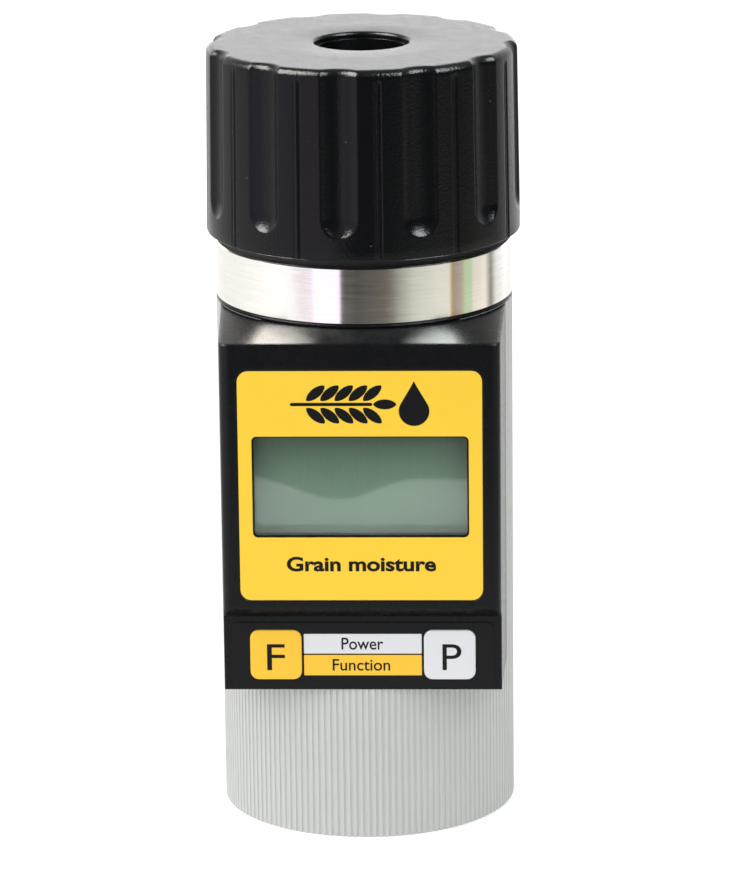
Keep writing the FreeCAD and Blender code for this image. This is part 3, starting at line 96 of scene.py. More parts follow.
class Graph:
    """A node tree that is written as nested calls. An input is a number, a colour or a socket."""

    def __init__(self, tree):
        self.tree = tree

    def put(self, node, inputs):
        """Set or link a node's inputs, named by index or by name with underscores for spaces."""
        for key, value in inputs.items():
            socket = node.inputs[key] if isinstance(key, int) else node.inputs[key.replace("_", " ")]
            if isinstance(value, bpy.types.NodeSocket):
                self.tree.links.new(value, socket)
            elif isinstance(value, tuple) and len(value) == 3 and socket.type == "RGBA":
                socket.default_value = (*value, 1)
            else:
                socket.default_value = value
        return node

    def node(self, kind, inputs=None, **settings):
        """A new shader node of this kind, with its settings and inputs."""
        node = self.tree.nodes.new("ShaderNode" + kind)
        for key, value in settings.items():
            setattr(node, key, value)
        return self.put(node, inputs or {})

    def maths(self, operation, first, second=0.0, clamp=False):
        node = self.node("Math", {0: first, 1: second}, operation=operation, use_clamp=clamp)
        return node.outputs[0]

    def spread(self, value, low, high, from_low=0.0, from_high=1.0, smooth=False):
        """value, moved from one range to another and kept inside it."""
        node = self.node("MapRange", {"Value": value, "From_Min": from_low, "From_Max": from_high,
                                      "To_Min": low, "To_Max": high}, clamp=True)
        if smooth:
            node.interpolation_type = "SMOOTHSTEP"
        return node.outputs["Result"]

    def mix(self, share, first, second):
        node = self.node("Mix", data_type="RGBA")
        self.put(node, {0: share, 6: first, 7: second})
        return node.outputs[2]

    def place(self, scale=(1.0, 1.0, 1.0), turn=(0.0, 0.0, 0.0)):
        """The point on the piece in its own frame, in millimetres times scale."""
        point = self.node("TexCoord").outputs["Object"]
        size = tuple(1 / MM * part for part in scale)
        return self.node("Mapping", {"Vector": point, "Scale": size, "Rotation": turn}).outputs[0]

    def noise(self, size, detail=3.0, stretch=(1.0, 1.0, 1.0), rough=0.5):
        """Noise from 0 to 1 whose lumps are about size millimetres across."""
        scale = tuple(part / size for part in stretch)
        node = self.node("TexNoise", {"Vector": self.place(scale), "Scale": 1.0, "Detail": detail,
                                      "Roughness": rough})
        return node.outputs[0]

    def specks(self, spacing, radius, share):
        """1 on small round specks: one per cell of spacing millimetres in this share of cells."""
        cells = self.node("TexVoronoi", {"Vector": self.place((1 / spacing,) * 3), "Scale": 1.0})
        small = self.maths("LESS_THAN", cells.outputs["Distance"], radius / spacing)
        chance = self.node("SeparateColor", {0: cells.outputs["Color"]}).outputs[0]
        chosen = self.maths("LESS_THAN", chance, share)
        return self.maths("MULTIPLY", small, chosen)

    def soft_edge(self, radius):
        """The normal, rounded over edges by radius millimetres."""
        return self.node("Bevel", {"Radius": radius * MM}, samples=4).outputs[0]

    def edge_mask(self, radius):
        """0 on flat places and up to 1 on edges."""
        plain = self.node("NewGeometry").outputs["Normal"]
        node = self.node("VectorMath", {0: plain, 1: self.soft_edge(radius)}, operation="DOT_PRODUCT")
        return self.spread(node.outputs["Value"], 1.0, 0.0, 0.72, 0.99)

    def bump(self, height, distance, normal=None):
        """The normal of a surface that height, from 0 to 1, lifts by distance millimetres."""
        inputs = {"Height": height, "Distance": distance * MM}
        if normal is not None:
            inputs["Normal"] = normal
        return self.node("Bump", inputs).outputs[0]


def new_material(name):
    """A material, the graph that fills it and its surface shader."""
    material = bpy.data.materials.new(name)
    material.use_nodes = True
    graph = Graph(material.node_tree)
    return material, graph, material.node_tree.nodes["Principled BSDF"]


# ------------------------------------------------------------------ materials

DUST_COLOR = (0.42, 0.43, 0.42)


def moulded(name, color, roughness, grain=0.35, relief=0.004, edge=0.25, edge_wear_and_sheen=1.6, dust=0.0,
            specular=0.5, mottle=0.08, grazing=1.0):
    """Moulded plastic: spark-eroded grain, uneven gloss, edges painted lighter and a little dust.

    grain, relief and edge are in millimetres: the size and the height of the grain, and the radius
    of the edges. The factor after edge sets how much lighter an edge is painted: edge wear, and on
    the keypad overlay a painted highlight along its rim. dust is the share of places with a speck.
    grazing is the share of the reflection that is left where the surface turns away.
    """
    material, graph, shader = new_material(name)
    patches = graph.noise(9.0, 4.0)
    darker = tuple(part * (1 - mottle) for part in color)
    lighter = tuple(min(1.0, part * (1 + mottle)) for part in color)
    base = graph.mix(patches, darker, lighter)
    # Edges are painted lighter here: edge wear, and on the keypad overlay a painted highlight along its
    # rim.
    edge_wear_and_sheen_mask = graph.maths("MULTIPLY", graph.edge_mask(edge), graph.noise(1.5, 3.0), clamp=True)
    base = graph.mix(edge_wear_and_sheen_mask, base, tuple(min(1.0, part * edge_wear_and_sheen + 0.004) for part in color))
    gloss = graph.spread(graph.noise(3.0, 5.0), roughness * 0.88, roughness * 1.14, 0.25, 0.75)
    if dust:
        specks = graph.specks(3.2, 0.085, dust)
        base = graph.mix(specks, base, DUST_COLOR)
        gloss = graph.maths("MAXIMUM", gloss, graph.maths("MULTIPLY", specks, 0.8))
    fine = graph.noise(grain, 2.0)
    normal = graph.bump(fine, relief, graph.soft_edge(edge))
    away = graph.node("LayerWeight", {"Blend": 0.5}).outputs["Facing"]
    mirror = graph.spread(away, specular, specular * grazing, 0.25, 0.75)
    graph.put(shader, {"Base_Color": base, "Roughness": gloss, "Normal": normal,
                       "Specular_IOR_Level": mirror})
    return material


def printed(name, color, roughness=0.4, relief=0.0015):
    """A screen-printed film: even colour, faint mesh texture and a satin surface."""
    material, graph, shader = new_material(name)
    tint = graph.mix(graph.noise(14.0, 3.0), tuple(part * 0.97 for part in color), color)
    scuffs = graph.noise(1.2, 5.0, (1.0, 1.0, 0.25))
    gloss = graph.spread(scuffs, roughness * 0.9, roughness * 1.15, 0.3, 0.7)
    weave = graph.noise(0.22, 1.0)
    normal = graph.bump(weave, relief, graph.soft_edge(0.12))
    graph.put(shader, {"Base_Color": tint, "Roughness": gloss, "Normal": normal})
    return material


def turned_metal(name, color):
    """Metal turned on a lathe: fine rings about the vertical axis stretch its reflections."""
    material, graph, shader = new_material(name)
    roughness = 0.1
    line_spacing = 0.12
    lines = graph.noise(1.0, 4.0, (0.09, 0.09, 1 / line_spacing), 0.62)
    broad = graph.noise(1.0, 2.0, (0.02, 0.02, 1.4))
    stains = graph.noise(7.0, 4.0)
    dull = tuple(part * 0.78 for part in color)
    base = graph.mix(graph.spread(lines, 0.0, 1.0, 0.3, 0.7), dull, color)
    stained = tuple(part * 0.8 for part in color)
    base = graph.mix(graph.spread(stains, 0.0, 0.35, 0.5, 0.8), base, stained)
    gloss = graph.spread(lines, roughness * 0.75, roughness * 1.35, 0.25, 0.75)
    height = graph.maths("ADD", lines, graph.maths("MULTIPLY", broad, 0.6))
    normal = graph.bump(height, 0.001)
    around = graph.node("Tangent", direction_type="RADIAL", axis="Z").outputs[0]
    graph.put(shader, {"Base_Color": base, "Metallic": 1.0, "Roughness": gloss, "Normal": normal,
                       "Anisotropic": 1.0, "Anisotropic_Rotation": 0.25, "Tangent": around})
    return material


def plated(name, color, roughness, relief=0.002):
    """Plated or machined metal with a slightly uneven, smudged surface."""
    material, graph, shader = new_material(name)
    smudge = graph.noise(2.2, 5.0)
    smudged = tuple(part * 0.7 for part in color)
    base = graph.mix(graph.spread(smudge, 0.0, 0.5, 0.45, 0.75), color, smudged)
    gloss = graph.spread(graph.noise(0.9, 4.0), roughness * 0.8, roughness * 1.3, 0.3, 0.7)
    normal = graph.bump(graph.noise(0.25, 2.0), relief, graph.soft_edge(0.15))
    graph.put(shader, {"Base_Color": base, "Metallic": 1.0, "Roughness": gloss, "Normal": normal})
    return material


def clear_window(name):
    """The clear lens: barely tinted, polished, with faint hairlines."""
    material, graph, shader = new_material(name)
    hairs = graph.noise(1.0, 2.0, (0.25, 0.25, 6.0))
    gloss = graph.spread(hairs, 0.01, 0.05, 0.55, 0.8)
    graph.put(shader, {"Base_Color": (0.97, 1.0, 0.98), "Roughness": gloss, "IOR": 1.49,
                       "Transmission_Weight": 1.0, "Normal": graph.bump(hairs, 0.0003)})
    return material


def liquid_crystal(name):
    """The cell's face: grey-green and faintly striped, under a glossy film."""
    material, graph, shader = new_material(name)
    stripes = graph.spread(graph.noise(1.0, 1.0, (8.0, 0.1, 0.1)), 0.0, 1.0, 0.3, 0.7)
    base = graph.mix(stripes, (0.138, 0.215, 0.155), (0.152, 0.235, 0.17))
    base = graph.mix(graph.specks(4.0, 0.07, 0.5), base, (0.6, 0.66, 0.62))
    gloss = graph.spread(graph.noise(0.5, 2.0), 0.1, 0.16)
    graph.put(shader, {"Base_Color": base, "Roughness": gloss, "Coat_Weight": 0.6,
                       "Coat_Roughness": 0.08, "Normal": graph.bump(graph.noise(0.3, 2.0), 0.0004)})
    return material


def circuit_board(name):
    """Solder mask over copper tracks that run up and across the board."""
    material, graph, shader = new_material(name)
    point = graph.place((0.16, 1.0, 0.16), (math.pi / 2, 0, 0))
    tracks = graph.node("TexBrick", {"Vector": point, "Scale": 1.0, "Mortar_Size": 0.06,
                                     "Brick_Width": 0.9, "Row_Height": 0.35}).outputs["Fac"]
    base = graph.mix(tracks, (0.012, 0.11, 0.045), (0.03, 0.2, 0.085))
    normal = graph.bump(tracks, 0.03, graph.bump(graph.noise(0.4, 2.0), 0.002))
    graph.put(shader, {"Base_Color": base, "Roughness": graph.spread(graph.noise(1.0), 0.22, 0.36),
                       "Normal": normal})
    return material


def cellular(name, color, cell=0.8):
    """Foam with closed cells of this many millimetres."""
    material, graph, shader = new_material(name)
    point = graph.place((1 / cell,) * 3)
    bubbles = graph.node("TexVoronoi", {"Vector": point, "Scale": 1.0}).outputs[0]
    base = graph.mix(bubbles, tuple(part * 0.5 for part in color), color)
    graph.put(shader, {"Base_Color": base, "Roughness": 0.9, "Normal": graph.bump(bubbles, 0.12)})
    return material


def battery_can(name):
    """The painted steel can of the battery: a dark upper part over a lighter band."""
    material, graph, shader = new_material(name)
    low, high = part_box("battery")
    band_top = low.z + (high.z - low.z) * 0.38
    height = graph.node("SeparateXYZ", {0: graph.node("TexCoord").outputs["Object"]}).outputs[2]
    upper = graph.maths("GREATER_THAN", height, band_top)
    base = graph.mix(upper, (0.55, 0.56, 0.58), (0.03, 0.035, 0.045))
    scratches = graph.noise(1.0, 4.0, (0.3, 0.3, 3.0))
    graph.put(shader, {"Base_Color": base, "Metallic": 0.6,
                       "Roughness": graph.spread(scratches, 0.26, 0.45),
                       "Normal": graph.bump(scratches, 0.002, graph.soft_edge(0.3))})
    return material


BLACK = (0.0042, 0.0046, 0.0054)
SIGNAL_YELLOW = (0.95, 0.61, 0.018)
KEY_YELLOW = (0.90, 0.54, 0.02)
KEY_WHITE = (0.70, 0.71, 0.74)
TUBE_GREY = (0.535, 0.55, 0.535)
MATERIALS = {
    "tube_plastic": moulded("tube_plastic", TUBE_GREY, 0.5, 0.3, 0.003, 0.12, 1.1, mottle=0.02),
    "casing_plastic": moulded("casing_plastic", BLACK, 0.27, 0.4, 0.004, 1.3, 1.2, dust=0.12,
                              specular=0.15, grazing=0.6),
    "cap_plastic": moulded("cap_plastic", BLACK, 0.19, 0.5, 0.08, 0.3, 1.6, dust=0.3,
                           specular=0.15, grazing=0.35),
    "label_print": printed("label_print", SIGNAL_YELLOW, 0.42),
    # Its edges are painted five times lighter: a painted highlight along the sheet's rim, besides edge
    # wear.
    "overlay_print": moulded("overlay_print", BLACK, 0.34, 0.25, 0.002, 0.15, 5.0, dust=0.12,
                             specular=0.16),
    "key_yellow": moulded("key_yellow", KEY_YELLOW, 0.38, 0.4, 0.001, 0.2, 1.0, mottle=0.01),
    "key_white": moulded("key_white", KEY_WHITE, 0.38, 0.4, 0.001, 0.2, 1.0, mottle=0.01),
    "clear_lens": clear_window("clear_lens"),
    "lcd_cell": liquid_crystal("lcd_cell"),
    "cup_metal": turned_metal("cup_metal", (0.80, 0.775, 0.73)),
    "steel": plated("steel", (0.62, 0.62, 0.63), 0.28),
    "spring_steel": plated("spring_steel", (0.5, 0.5, 0.52), 0.3),
    "brass": plated("brass", (0.78, 0.56, 0.24), 0.25),
    "insulator": moulded("insulator", (0.78, 0.76, 0.7), 0.45, edge_wear_and_sheen=1.1),
    "rubber": moulded("rubber", (0.016, 0.016, 0.016), 0.72, 0.5, 0.008, 0.3, 1.5),
    "foam": cellular("foam", (0.09, 0.09, 0.09)),
    "board": circuit_board("board"),
    "chip": moulded("chip", (0.02, 0.02, 0.02), 0.5, 0.2, 0.004, 0.1, 1.5),
    "wire": moulded("wire", (0.5, 0.03, 0.025), 0.42, 1.2, 0.006, 0.1, 1.1),
    "battery_case": battery_can("battery_case"),
}
SLOT_OF = {part["node"]: part["material_slot"] for part in frame["record"]["subparts"]}
shroud = moulded("shroud", (0.028, 0.029, 0.031), 0.5, 0.3, 0.003, 0.1, 1.3)
for node, thing in frame["nodes"].items():
    thing.data.materials.clear()
    thing.data.materials.append(shroud if node == "lcd_frame" else MATERIALS[SLOT_OF[node]])


# ------------------------------------------------------------------ making meshes

def add_piece(name, mesh, body, slot, replaces=(), smooth_angle=35.0):
    """Link a mesh as a piece that rides on a body and takes its finish from a slot."""
    mesh.materials.append(MATERIALS[slot])
    mesh.shade_smooth()
    mesh.set_sharp_from_angle(angle=math.radians(smooth_angle))
    piece = bpy.data.objects.new(name, mesh)
    bpy.context.scene.collection.objects.link(piece)
    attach(piece, body)
    if replaces:
        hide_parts(*replaces)
    return piece


def mesh_from(name, points, faces):
    """A closed mesh whose faces all look outwards."""
    mesh = bpy.data.meshes.new(name)
    mesh.from_pydata(points, [], faces)
    mesh.update()
    shell = bmesh.new()
    shell.from_mesh(mesh)
    bmesh.ops.recalc_face_normals(shell, faces=shell.faces)
    shell.to_mesh(mesh)
    shell.free()
    return mesh


def ring_mesh(name, rings, closed=False):
    """Quads between closed rings of equally many points. An open stack gets a face on each end."""
    count = len(rings[0])
    points = [point for ring in rings for point in ring]
    pairs = [(index, index + 1) for index in range(len(rings) - 1)]
    if closed:
        pairs.append((len(rings) - 1, 0))
    faces = []
    for lower, upper in pairs:
        for index in range(count):
            following = (index + 1) % count
            faces.append((lower * count + index, lower * count + following,
                          upper * count + following, upper * count + index))
    if not closed:
        faces.append(tuple(range(count)))
        faces.append(tuple((len(rings) - 1) * count + index for index in range(count)))
    return mesh_from(name, points, faces)


def rounded_outline(left, bottom, right, top, corner, steps=7):
    """Points (x, z) of a rectangle with round corners, anticlockwise seen from the front."""
    points = []
    corners = ((right - corner, bottom + corner, -90), (right - corner, top - corner, 0),
               (left + corner, top - corner, 90), (left + corner, bottom + corner, 180))
    for centre_x, centre_z, start in corners:
        for step in range(steps + 1):
            angle = math.radians(start + 90 * step / steps)
            points.append((centre_x + corner * math.cos(angle), centre_z + corner * math.sin(angle)))
    return points


def upright_ring(points, y):
    """Points (x, z), stood up in the plane at y."""
    return [(x, y, z) for x, z in points]


# ------------------------------------------------------------------ the fluted cap

FLUTES = 12
SECTOR = 360 / FLUTES
FLUTE_ANGLE = -6.7
FLUTE_HALF_WIDTH = 4.95 * MM
FLUTE_DEPTH = 1.6 * MM
FLUTE_BLEND = 0.16 * MM
FLUTE_END = CAP_LOW.z + 5.6 * MM
FLUTE_FOOT = FLUTE_END + FLUTE_HALF_WIDTH
SEAM_ANGLE = 8.0
# Offset and width in degrees, and depth, of the two lines that make each seam.
SEAM_LINES = ((-1.25, 0.55, 0.16 * MM), (0.4, 0.45, 0.42 * MM))
SEAM_TOP = CAP_HIGH.z - 3.6 * MM
SEAM_FADE = 1.0 * MM
CAP_RIM = 2.1 * MM
CAP_BEVEL = 0.35 * MM
CAP_RADIUS = (CAP_HIGH.x - CAP_LOW.x) / 2
CAP_TOP_RADIUS = CAP_RADIUS - 0.65 * MM
CAP_WALL = 1.35 * MM
CAP_ROOF = 4.5 * MM
HUB_WALL = 3.3 * MM
HUB_BELOW_RETAINER = 5.9 * MM
HUB_ABOVE_RETAINER = 2.7 * MM
SLEEVE_GAP = 0.05 * MM
HOLE_RADIUS = 11.94 * MM
HOLE_RIM = 0.9 * MM


def smooth_step(value, low, high):
    """0 below low, 1 above high, and a smooth rise between them."""
    share = min(1.0, max(0.0, (value - low) / (high - low)))
    return share * share * (3 - 2 * share)


def soft_minimum(first, second, blend):
    """The smaller value, with the crease between the two rounded over blend."""
    share = max(blend - abs(first - second), 0.0) / blend
    return min(first, second) - share * share * blend / 4


def wrapped(angle):
    """An angle in degrees, moved into half a sector either side of zero."""
    return (angle + SECTOR / 2) % SECTOR - SECTOR / 2


def grip_radius(angle, z):
    """The cap's outer radius at an angle from the front, in degrees, and a height."""
    share = (z - CAP_LOW.z) / (CAP_HIGH.z - CAP_LOW.z)
    radius = CAP_RADIUS + (CAP_TOP_RADIUS - CAP_RADIUS) * share

    past_seam = wrapped(angle - SEAM_ANGLE)
    ending = max(0.0, z - SEAM_TOP) / SEAM_FADE
    depth = sum(deep * math.exp(-((past_seam - offset) / width) ** 2)
                for offset, width, deep in SEAM_LINES)
    surface = radius - depth * math.exp(-ending ** 2)

    scoop = (FLUTE_HALF_WIDTH ** 2 + FLUTE_DEPTH ** 2) / (2 * FLUTE_DEPTH)
    centre = radius - FLUTE_DEPTH + scoop
    aside = math.radians(wrapped(angle - FLUTE_ANGLE))
    below = max(0.0, FLUTE_FOOT - z)
    inside = scoop ** 2 - below ** 2 - (centre * math.sin(aside)) ** 2
    if inside <= 0:
        return surface
    return soft_minimum(surface, centre * math.cos(aside) - math.sqrt(inside), FLUTE_BLEND)


def grip_angles():
    """Angles of the cap's columns: even ones, and close ones at each seam."""
    count = 76
    even = [SECTOR * index / count for index in range(count)]
    close = [(SEAM_ANGLE - 2.6 + 0.19 * index) % SECTOR for index in range(24)]
    apart = [angle for angle in even if min(abs(angle - other) for other in close) > 0.1]
    return sorted(SECTOR * sector + angle for sector in range(FLUTES) for angle in apart + close)


def between(low, high, count):
    """count heights after low, up to and including high."""
    return [low + (high - low) * (index + 1) / count for index in range(count)]


def cap_grip():
    """The cap's shell: grip with scoops and seams outside, bore, hub and viewing hole inside."""
    angles = grip_angles()
    top = CAP_HIGH.z
    low = CAP_LOW.z
    bore = SLEEVE_HIGH.x + SLEEVE_GAP
    hub_bore = RETAINER_HIGH.x
    hub = hub_bore + HUB_WALL
    cavity = bore - CAP_WALL
    ceiling = top - CAP_ROOF
    hub_bottom = RETAINER_HIGH.z - HUB_BELOW_RETAINER
    hub_top = RETAINER_HIGH.z + HUB_ABOVE_RETAINER
    sleeve_top = SLEEVE_HIGH.z + SLEEVE_GAP

    def point(radius, angle, z):
        turn = math.radians(angle)
        return (radius * math.sin(turn), -radius * math.cos(turn), z)

    def round_ring(radius, z):
        return [point(radius, angle, z) for angle in angles]

    def grip_ring(z, inset=0.0, shape_z=None):
        height = z if shape_z is None else shape_z
        return [point(grip_radius(angle, height) - inset, angle, z) for angle in angles]

    rings = [round_ring(bore, low)]
    for step in range(4):
        turn = math.pi / 2 * step / 3
        rise, inset = CAP_BEVEL * (1 - math.cos(turn)), CAP_BEVEL * (1 - math.sin(turn))
        rings.append(grip_ring(low + rise, inset))
    shoulder = top - CAP_RIM
    under_scoops = FLUTE_END - 0.4 * MM
    heights = between(low + CAP_BEVEL, under_scoops, 2) + between(under_scoops, FLUTE_FOOT, 26)
    heights += between(FLUTE_FOOT, SEAM_TOP, 5) + between(SEAM_TOP, shoulder, 9)
    rings += [grip_ring(z) for z in heights]
    for step in range(1, 11):
        turn = math.pi / 2 * step / 10
        rise, inset = CAP_RIM * math.sin(turn), CAP_RIM * (1 - math.cos(turn))
        rings.append(grip_ring(shoulder + rise, inset, shoulder))
    inner_edge = HOLE_RADIUS + HOLE_RIM
    for share in (0.04, 0.12, 0.3, 0.6, 1.0):
        rings.append([point((grip_radius(angle, shoulder) - CAP_RIM) * (1 - share) + inner_edge * share,
                            angle, top) for angle in angles])
    for step in range(1, 7):
        turn = math.pi / 2 * step / 6
        inset, drop = HOLE_RIM * math.sin(turn), HOLE_RIM * (1 - math.cos(turn))
        rings.append(round_ring(inner_edge - inset, top - drop))
    inside = ((HOLE_RADIUS, hub_top), (hub_bore, hub_top), (hub_bore, hub_bottom), (hub, hub_bottom),
              (hub, ceiling), (cavity, ceiling), (cavity, sleeve_top), (bore, sleeve_top))
    rings += [round_ring(radius, z) for radius, z in inside]
    mesh = ring_mesh("cap_grip", rings, closed=True)
    return add_piece("cap_grip", mesh, "cap", "cap_plastic", ["cap_shell"], 32.0)


# ------------------------------------------------------------------ keys, print, pictogram and painted window shade

KEY_LIP = 0.9 * MM
KEY_LIP_BEHIND = 1.45 * MM
KEY_LIP_CORNER = 0.3 * MM
KEY_CORNER = 2.2 * MM
KEY_EDGE = 0.32 * MM
KEY_CROWN = 0.05 * MM
# Distance in from the key's side and rise of the crown there.
KEY_CROWN_RINGS = ((1.2 * MM, 0.03 * MM), (3.0 * MM, 0.045 * MM), (5.0 * MM, 0.05 * MM))


def key_cap(name, node, body, slot):
    """A key with a lip behind the panel, rounded front edges and a faintly crowned face."""
    low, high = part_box(node)
    lip_front = OVERLAY_HIGH.y + KEY_LIP_BEHIND
    left, right, bottom, top = low.x + KEY_LIP, high.x - KEY_LIP, low.z + KEY_LIP, high.z - KEY_LIP

    def outline(inset, corner=KEY_CORNER):
        return rounded_outline(left + inset, bottom + inset, right - inset, top - inset,
                               max(corner - inset, 0.2 * MM))

    lip = outline(-KEY_LIP, KEY_LIP_CORNER - KEY_LIP)
    rings = [upright_ring(lip, high.y), upright_ring(lip, lip_front), upright_ring(outline(0), lip_front)]
    for step in range(6):
        turn = math.pi / 2 * step / 5
        inset, behind = KEY_EDGE * (1 - math.cos(turn)), KEY_EDGE * (1 - math.sin(turn))
        rings.append(upright_ring(outline(inset), low.y + behind + KEY_CROWN))
    for inset, rise in KEY_CROWN_RINGS:
        rings.append(upright_ring(outline(inset), low.y + KEY_CROWN - rise))
    return add_piece(name, ring_mesh(name, rings), body, slot, [node], 50.0)


def solid_from_outlines(name, outlines, front, thickness):
    """Flat shapes in the XZ plane, given as closed outlines, raised towards the viewer."""
    points, faces = [], []
    for outline in outlines:
        start, count = len(points), len(outline)
        points += upright_ring(outline, front + thickness) + upright_ring(outline, front)
        faces.append(tuple(range(start, start + count)))
        faces.append(tuple(range(start + count, start + count * 2)))
        for index in range(count):
            following = (index + 1) % count
            faces.append((start + index, start + following,
                          start + count + following, start + count + index))
    return mesh_from(name, points, faces)


def text_mesh(name, words, edges, front, thickness, weight=0.0):
    """Built-in lettering, fitted into edges (left, bottom, right, top) on a plane facing the viewer."""
    curve = bpy.data.curves.new(name + "_curve", "FONT")
    curve.body = words
    curve.extrude = 0.5
    curve.offset = weight
    curve.resolution_u = 6
    holder = bpy.data.objects.new(name + "_curve", curve)
    bpy.context.scene.collection.objects.link(holder)
    bpy.context.view_layer.update()
    evaluated = holder.evaluated_get(bpy.context.evaluated_depsgraph_get())
    mesh = bpy.data.meshes.new_from_object(evaluated)
    bpy.data.objects.remove(holder)
    xs = [vertex.co.x for vertex in mesh.vertices]
    ys = [vertex.co.y for vertex in mesh.vertices]
    left, bottom, right, top = edges
    for vertex in mesh.vertices:
        across = left + (right - left) * (vertex.co.x - min(xs)) / (max(xs) - min(xs))
        up = bottom + (top - bottom) * (vertex.co.y - min(ys)) / (max(ys) - min(ys))
        vertex.co = (across, front + thickness * (0.5 - vertex.co.z), up)
    mesh.update()
    mesh.materials.clear()
    return mesh


INK = 0.03 * MM


def kernel(centre_x, centre_z, length, width, turn):
    """A pointed oval, turned about its middle."""
    angle = math.radians(turn)
    points = []
    count = 22
    for index in range(count):
        around = 2 * math.pi * index / count
        along = length / 2 * math.cos(around)
        across = width / 2 * math.sin(around) * abs(math.sin(around)) ** 0.35
        points.append((centre_x + along * math.cos(angle) - across * math.sin(angle),
                       centre_z + along * math.sin(angle) + across * math.cos(angle)))
    return points


def water_drop(centre_x, bottom, height):
    """A round drop with a pointed top."""
    radius = height * 0.33
    centre = bottom + radius
    points = []
    for index in range(25):
        angle = math.radians(-215 + 250 * index / 24)
        points.append((centre_x + radius * math.cos(angle), centre + radius * math.sin(angle)))
    points.append((centre_x + radius * 0.22, bottom + height * 0.86))
    points.append((centre_x, bottom + height))
    points.append((centre_x - radius * 0.22, bottom + height * 0.86))
    return points


def pictogram(front):
    """A generic sign for grain moisture: an ear of grain lying beside a drop of water."""
    middle = LABEL_HIGH.z - 8.6 * MM
    outlines = [rounded_outline(-17.4 * MM, middle - 0.42 * MM, 3.2 * MM, middle + 0.42 * MM,
                                0.4 * MM, 3)]
    for index in range(5):
        across = (-11.0 + 3.55 * index) * MM
        for side in (-1, 1):
            outlines.append(kernel(across, middle + side * 2.9 * MM, 6.0 * MM, 2.5 * MM, side * 40))
    outlines.append(kernel(6.3 * MM, middle, 5.8 * MM, 2.6 * MM, 0))
    outlines.append(water_drop(13.6 * MM, middle - 5.6 * MM, 11.6 * MM))
    mesh = solid_from_outlines("label_pictogram", outlines, front - INK, INK)
    return add_piece("label_pictogram", mesh, "meter", "overlay_print", smooth_angle=20.0)


def printed_words(name, words, edges, front, body="meter", weight=0.0):
    """Words in ink on the plane at front, with edges in millimetres."""
    mesh = text_mesh(name, words, tuple(edge * MM for edge in edges), front - INK, INK, weight)
    return add_piece(name, mesh, body, "overlay_print", smooth_angle=20.0)


def window_edge_shade():
    """A dark line round the display window: painted shade along the edge of the window opening."""
    front = LENS_LOW.y

    def outline(inset, corner):
        return rounded_outline(LENS_LOW.x + inset, LENS_LOW.z + inset, LENS_HIGH.x - inset,
                               LENS_HIGH.z - inset, corner)

    outer = outline(1.4 * MM, 1.4 * MM)
    inner = outline(1.95 * MM, 0.95 * MM)
    rings = [upright_ring(outer, front), upright_ring(inner, front),
             upright_ring(inner, front - INK), upright_ring(outer, front - INK)]
    mesh = ring_mesh("window_edge_shade", rings, closed=True)
    return add_piece("window_edge_shade", mesh, "meter", "overlay_print", smooth_angle=20.0)


def legend_bars(front):
    """The two printed fields between the keys."""
    for name, low, high, slot in (("legend_field_white", 49.65, 54.9, "key_white"),
                                  ("legend_field_yellow", 43.85, 49.3, "key_yellow")):
        outline = rounded_outline(-14.95 * MM, low * MM, 14.95 * MM, high * MM, 0.15 * MM, 2)
        mesh = solid_from_outlines(name, [outline], front - INK, INK)
        add_piece(name, mesh, "meter", slot, smooth_angle=20.0)


# ------------------------------------------------------------------ spring

def spring_coil():
    """The press spring, wound with closed ends."""
    wire = 0.9 * MM
    coil = SPRING_HIGH.x - wire
    turns = 7.0
    low, high = SPRING_LOW.z + wire, SPRING_HIGH.z - wire
    steps = int(turns * 40)
    around = 12
    rings = []
    for step in range(steps + 1):
        share = step / steps
        dead = smooth_step(share, 0.0, 0.16) * 0.5 + smooth_step(share, 0.84, 1.0) * 0.5
        height = low + (high - low) * (share * 0.75 + dead * 0.25)
        angle = 2 * math.pi * turns * share
        ring = []
        for index in range(around):
            turn = 2 * math.pi * index / around
            radius = coil + wire * math.cos(turn)
            ring.append((radius * math.cos(angle), radius * math.sin(angle),
                         height + wire * math.sin(turn)))
        rings.append(ring)
    mesh = ring_mesh("press_spring_coil", rings)
    piece = add_piece("press_spring_coil", mesh, "cap_guide", "spring_steel", ["press_spring"], 60.0)
    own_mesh(piece)
    return piece


# ------------------------------------------------------------------ stage and light

SHEET_LEFT, SHEET_RIGHT, SHEET_BACK, SHEET_FRONT = -3.0, 0.4, 3.0, -0.384
SHEET_SINK = 0.1 * MM
SHEET_GLOW = 0.3
NOTCH_START, NOTCH_LENGTH, NOTCH_POINTS = -0.09, 0.15, 36
NOTCH_MIDDLE, NOTCH_DEPTH = -0.018, 0.034
NOTCH_LEFT_WIDTH, NOTCH_RIGHT_WIDTH = 0.024, 0.015
NOTCH_RISE, NOTCH_RISE_END = 0.012, 0.02


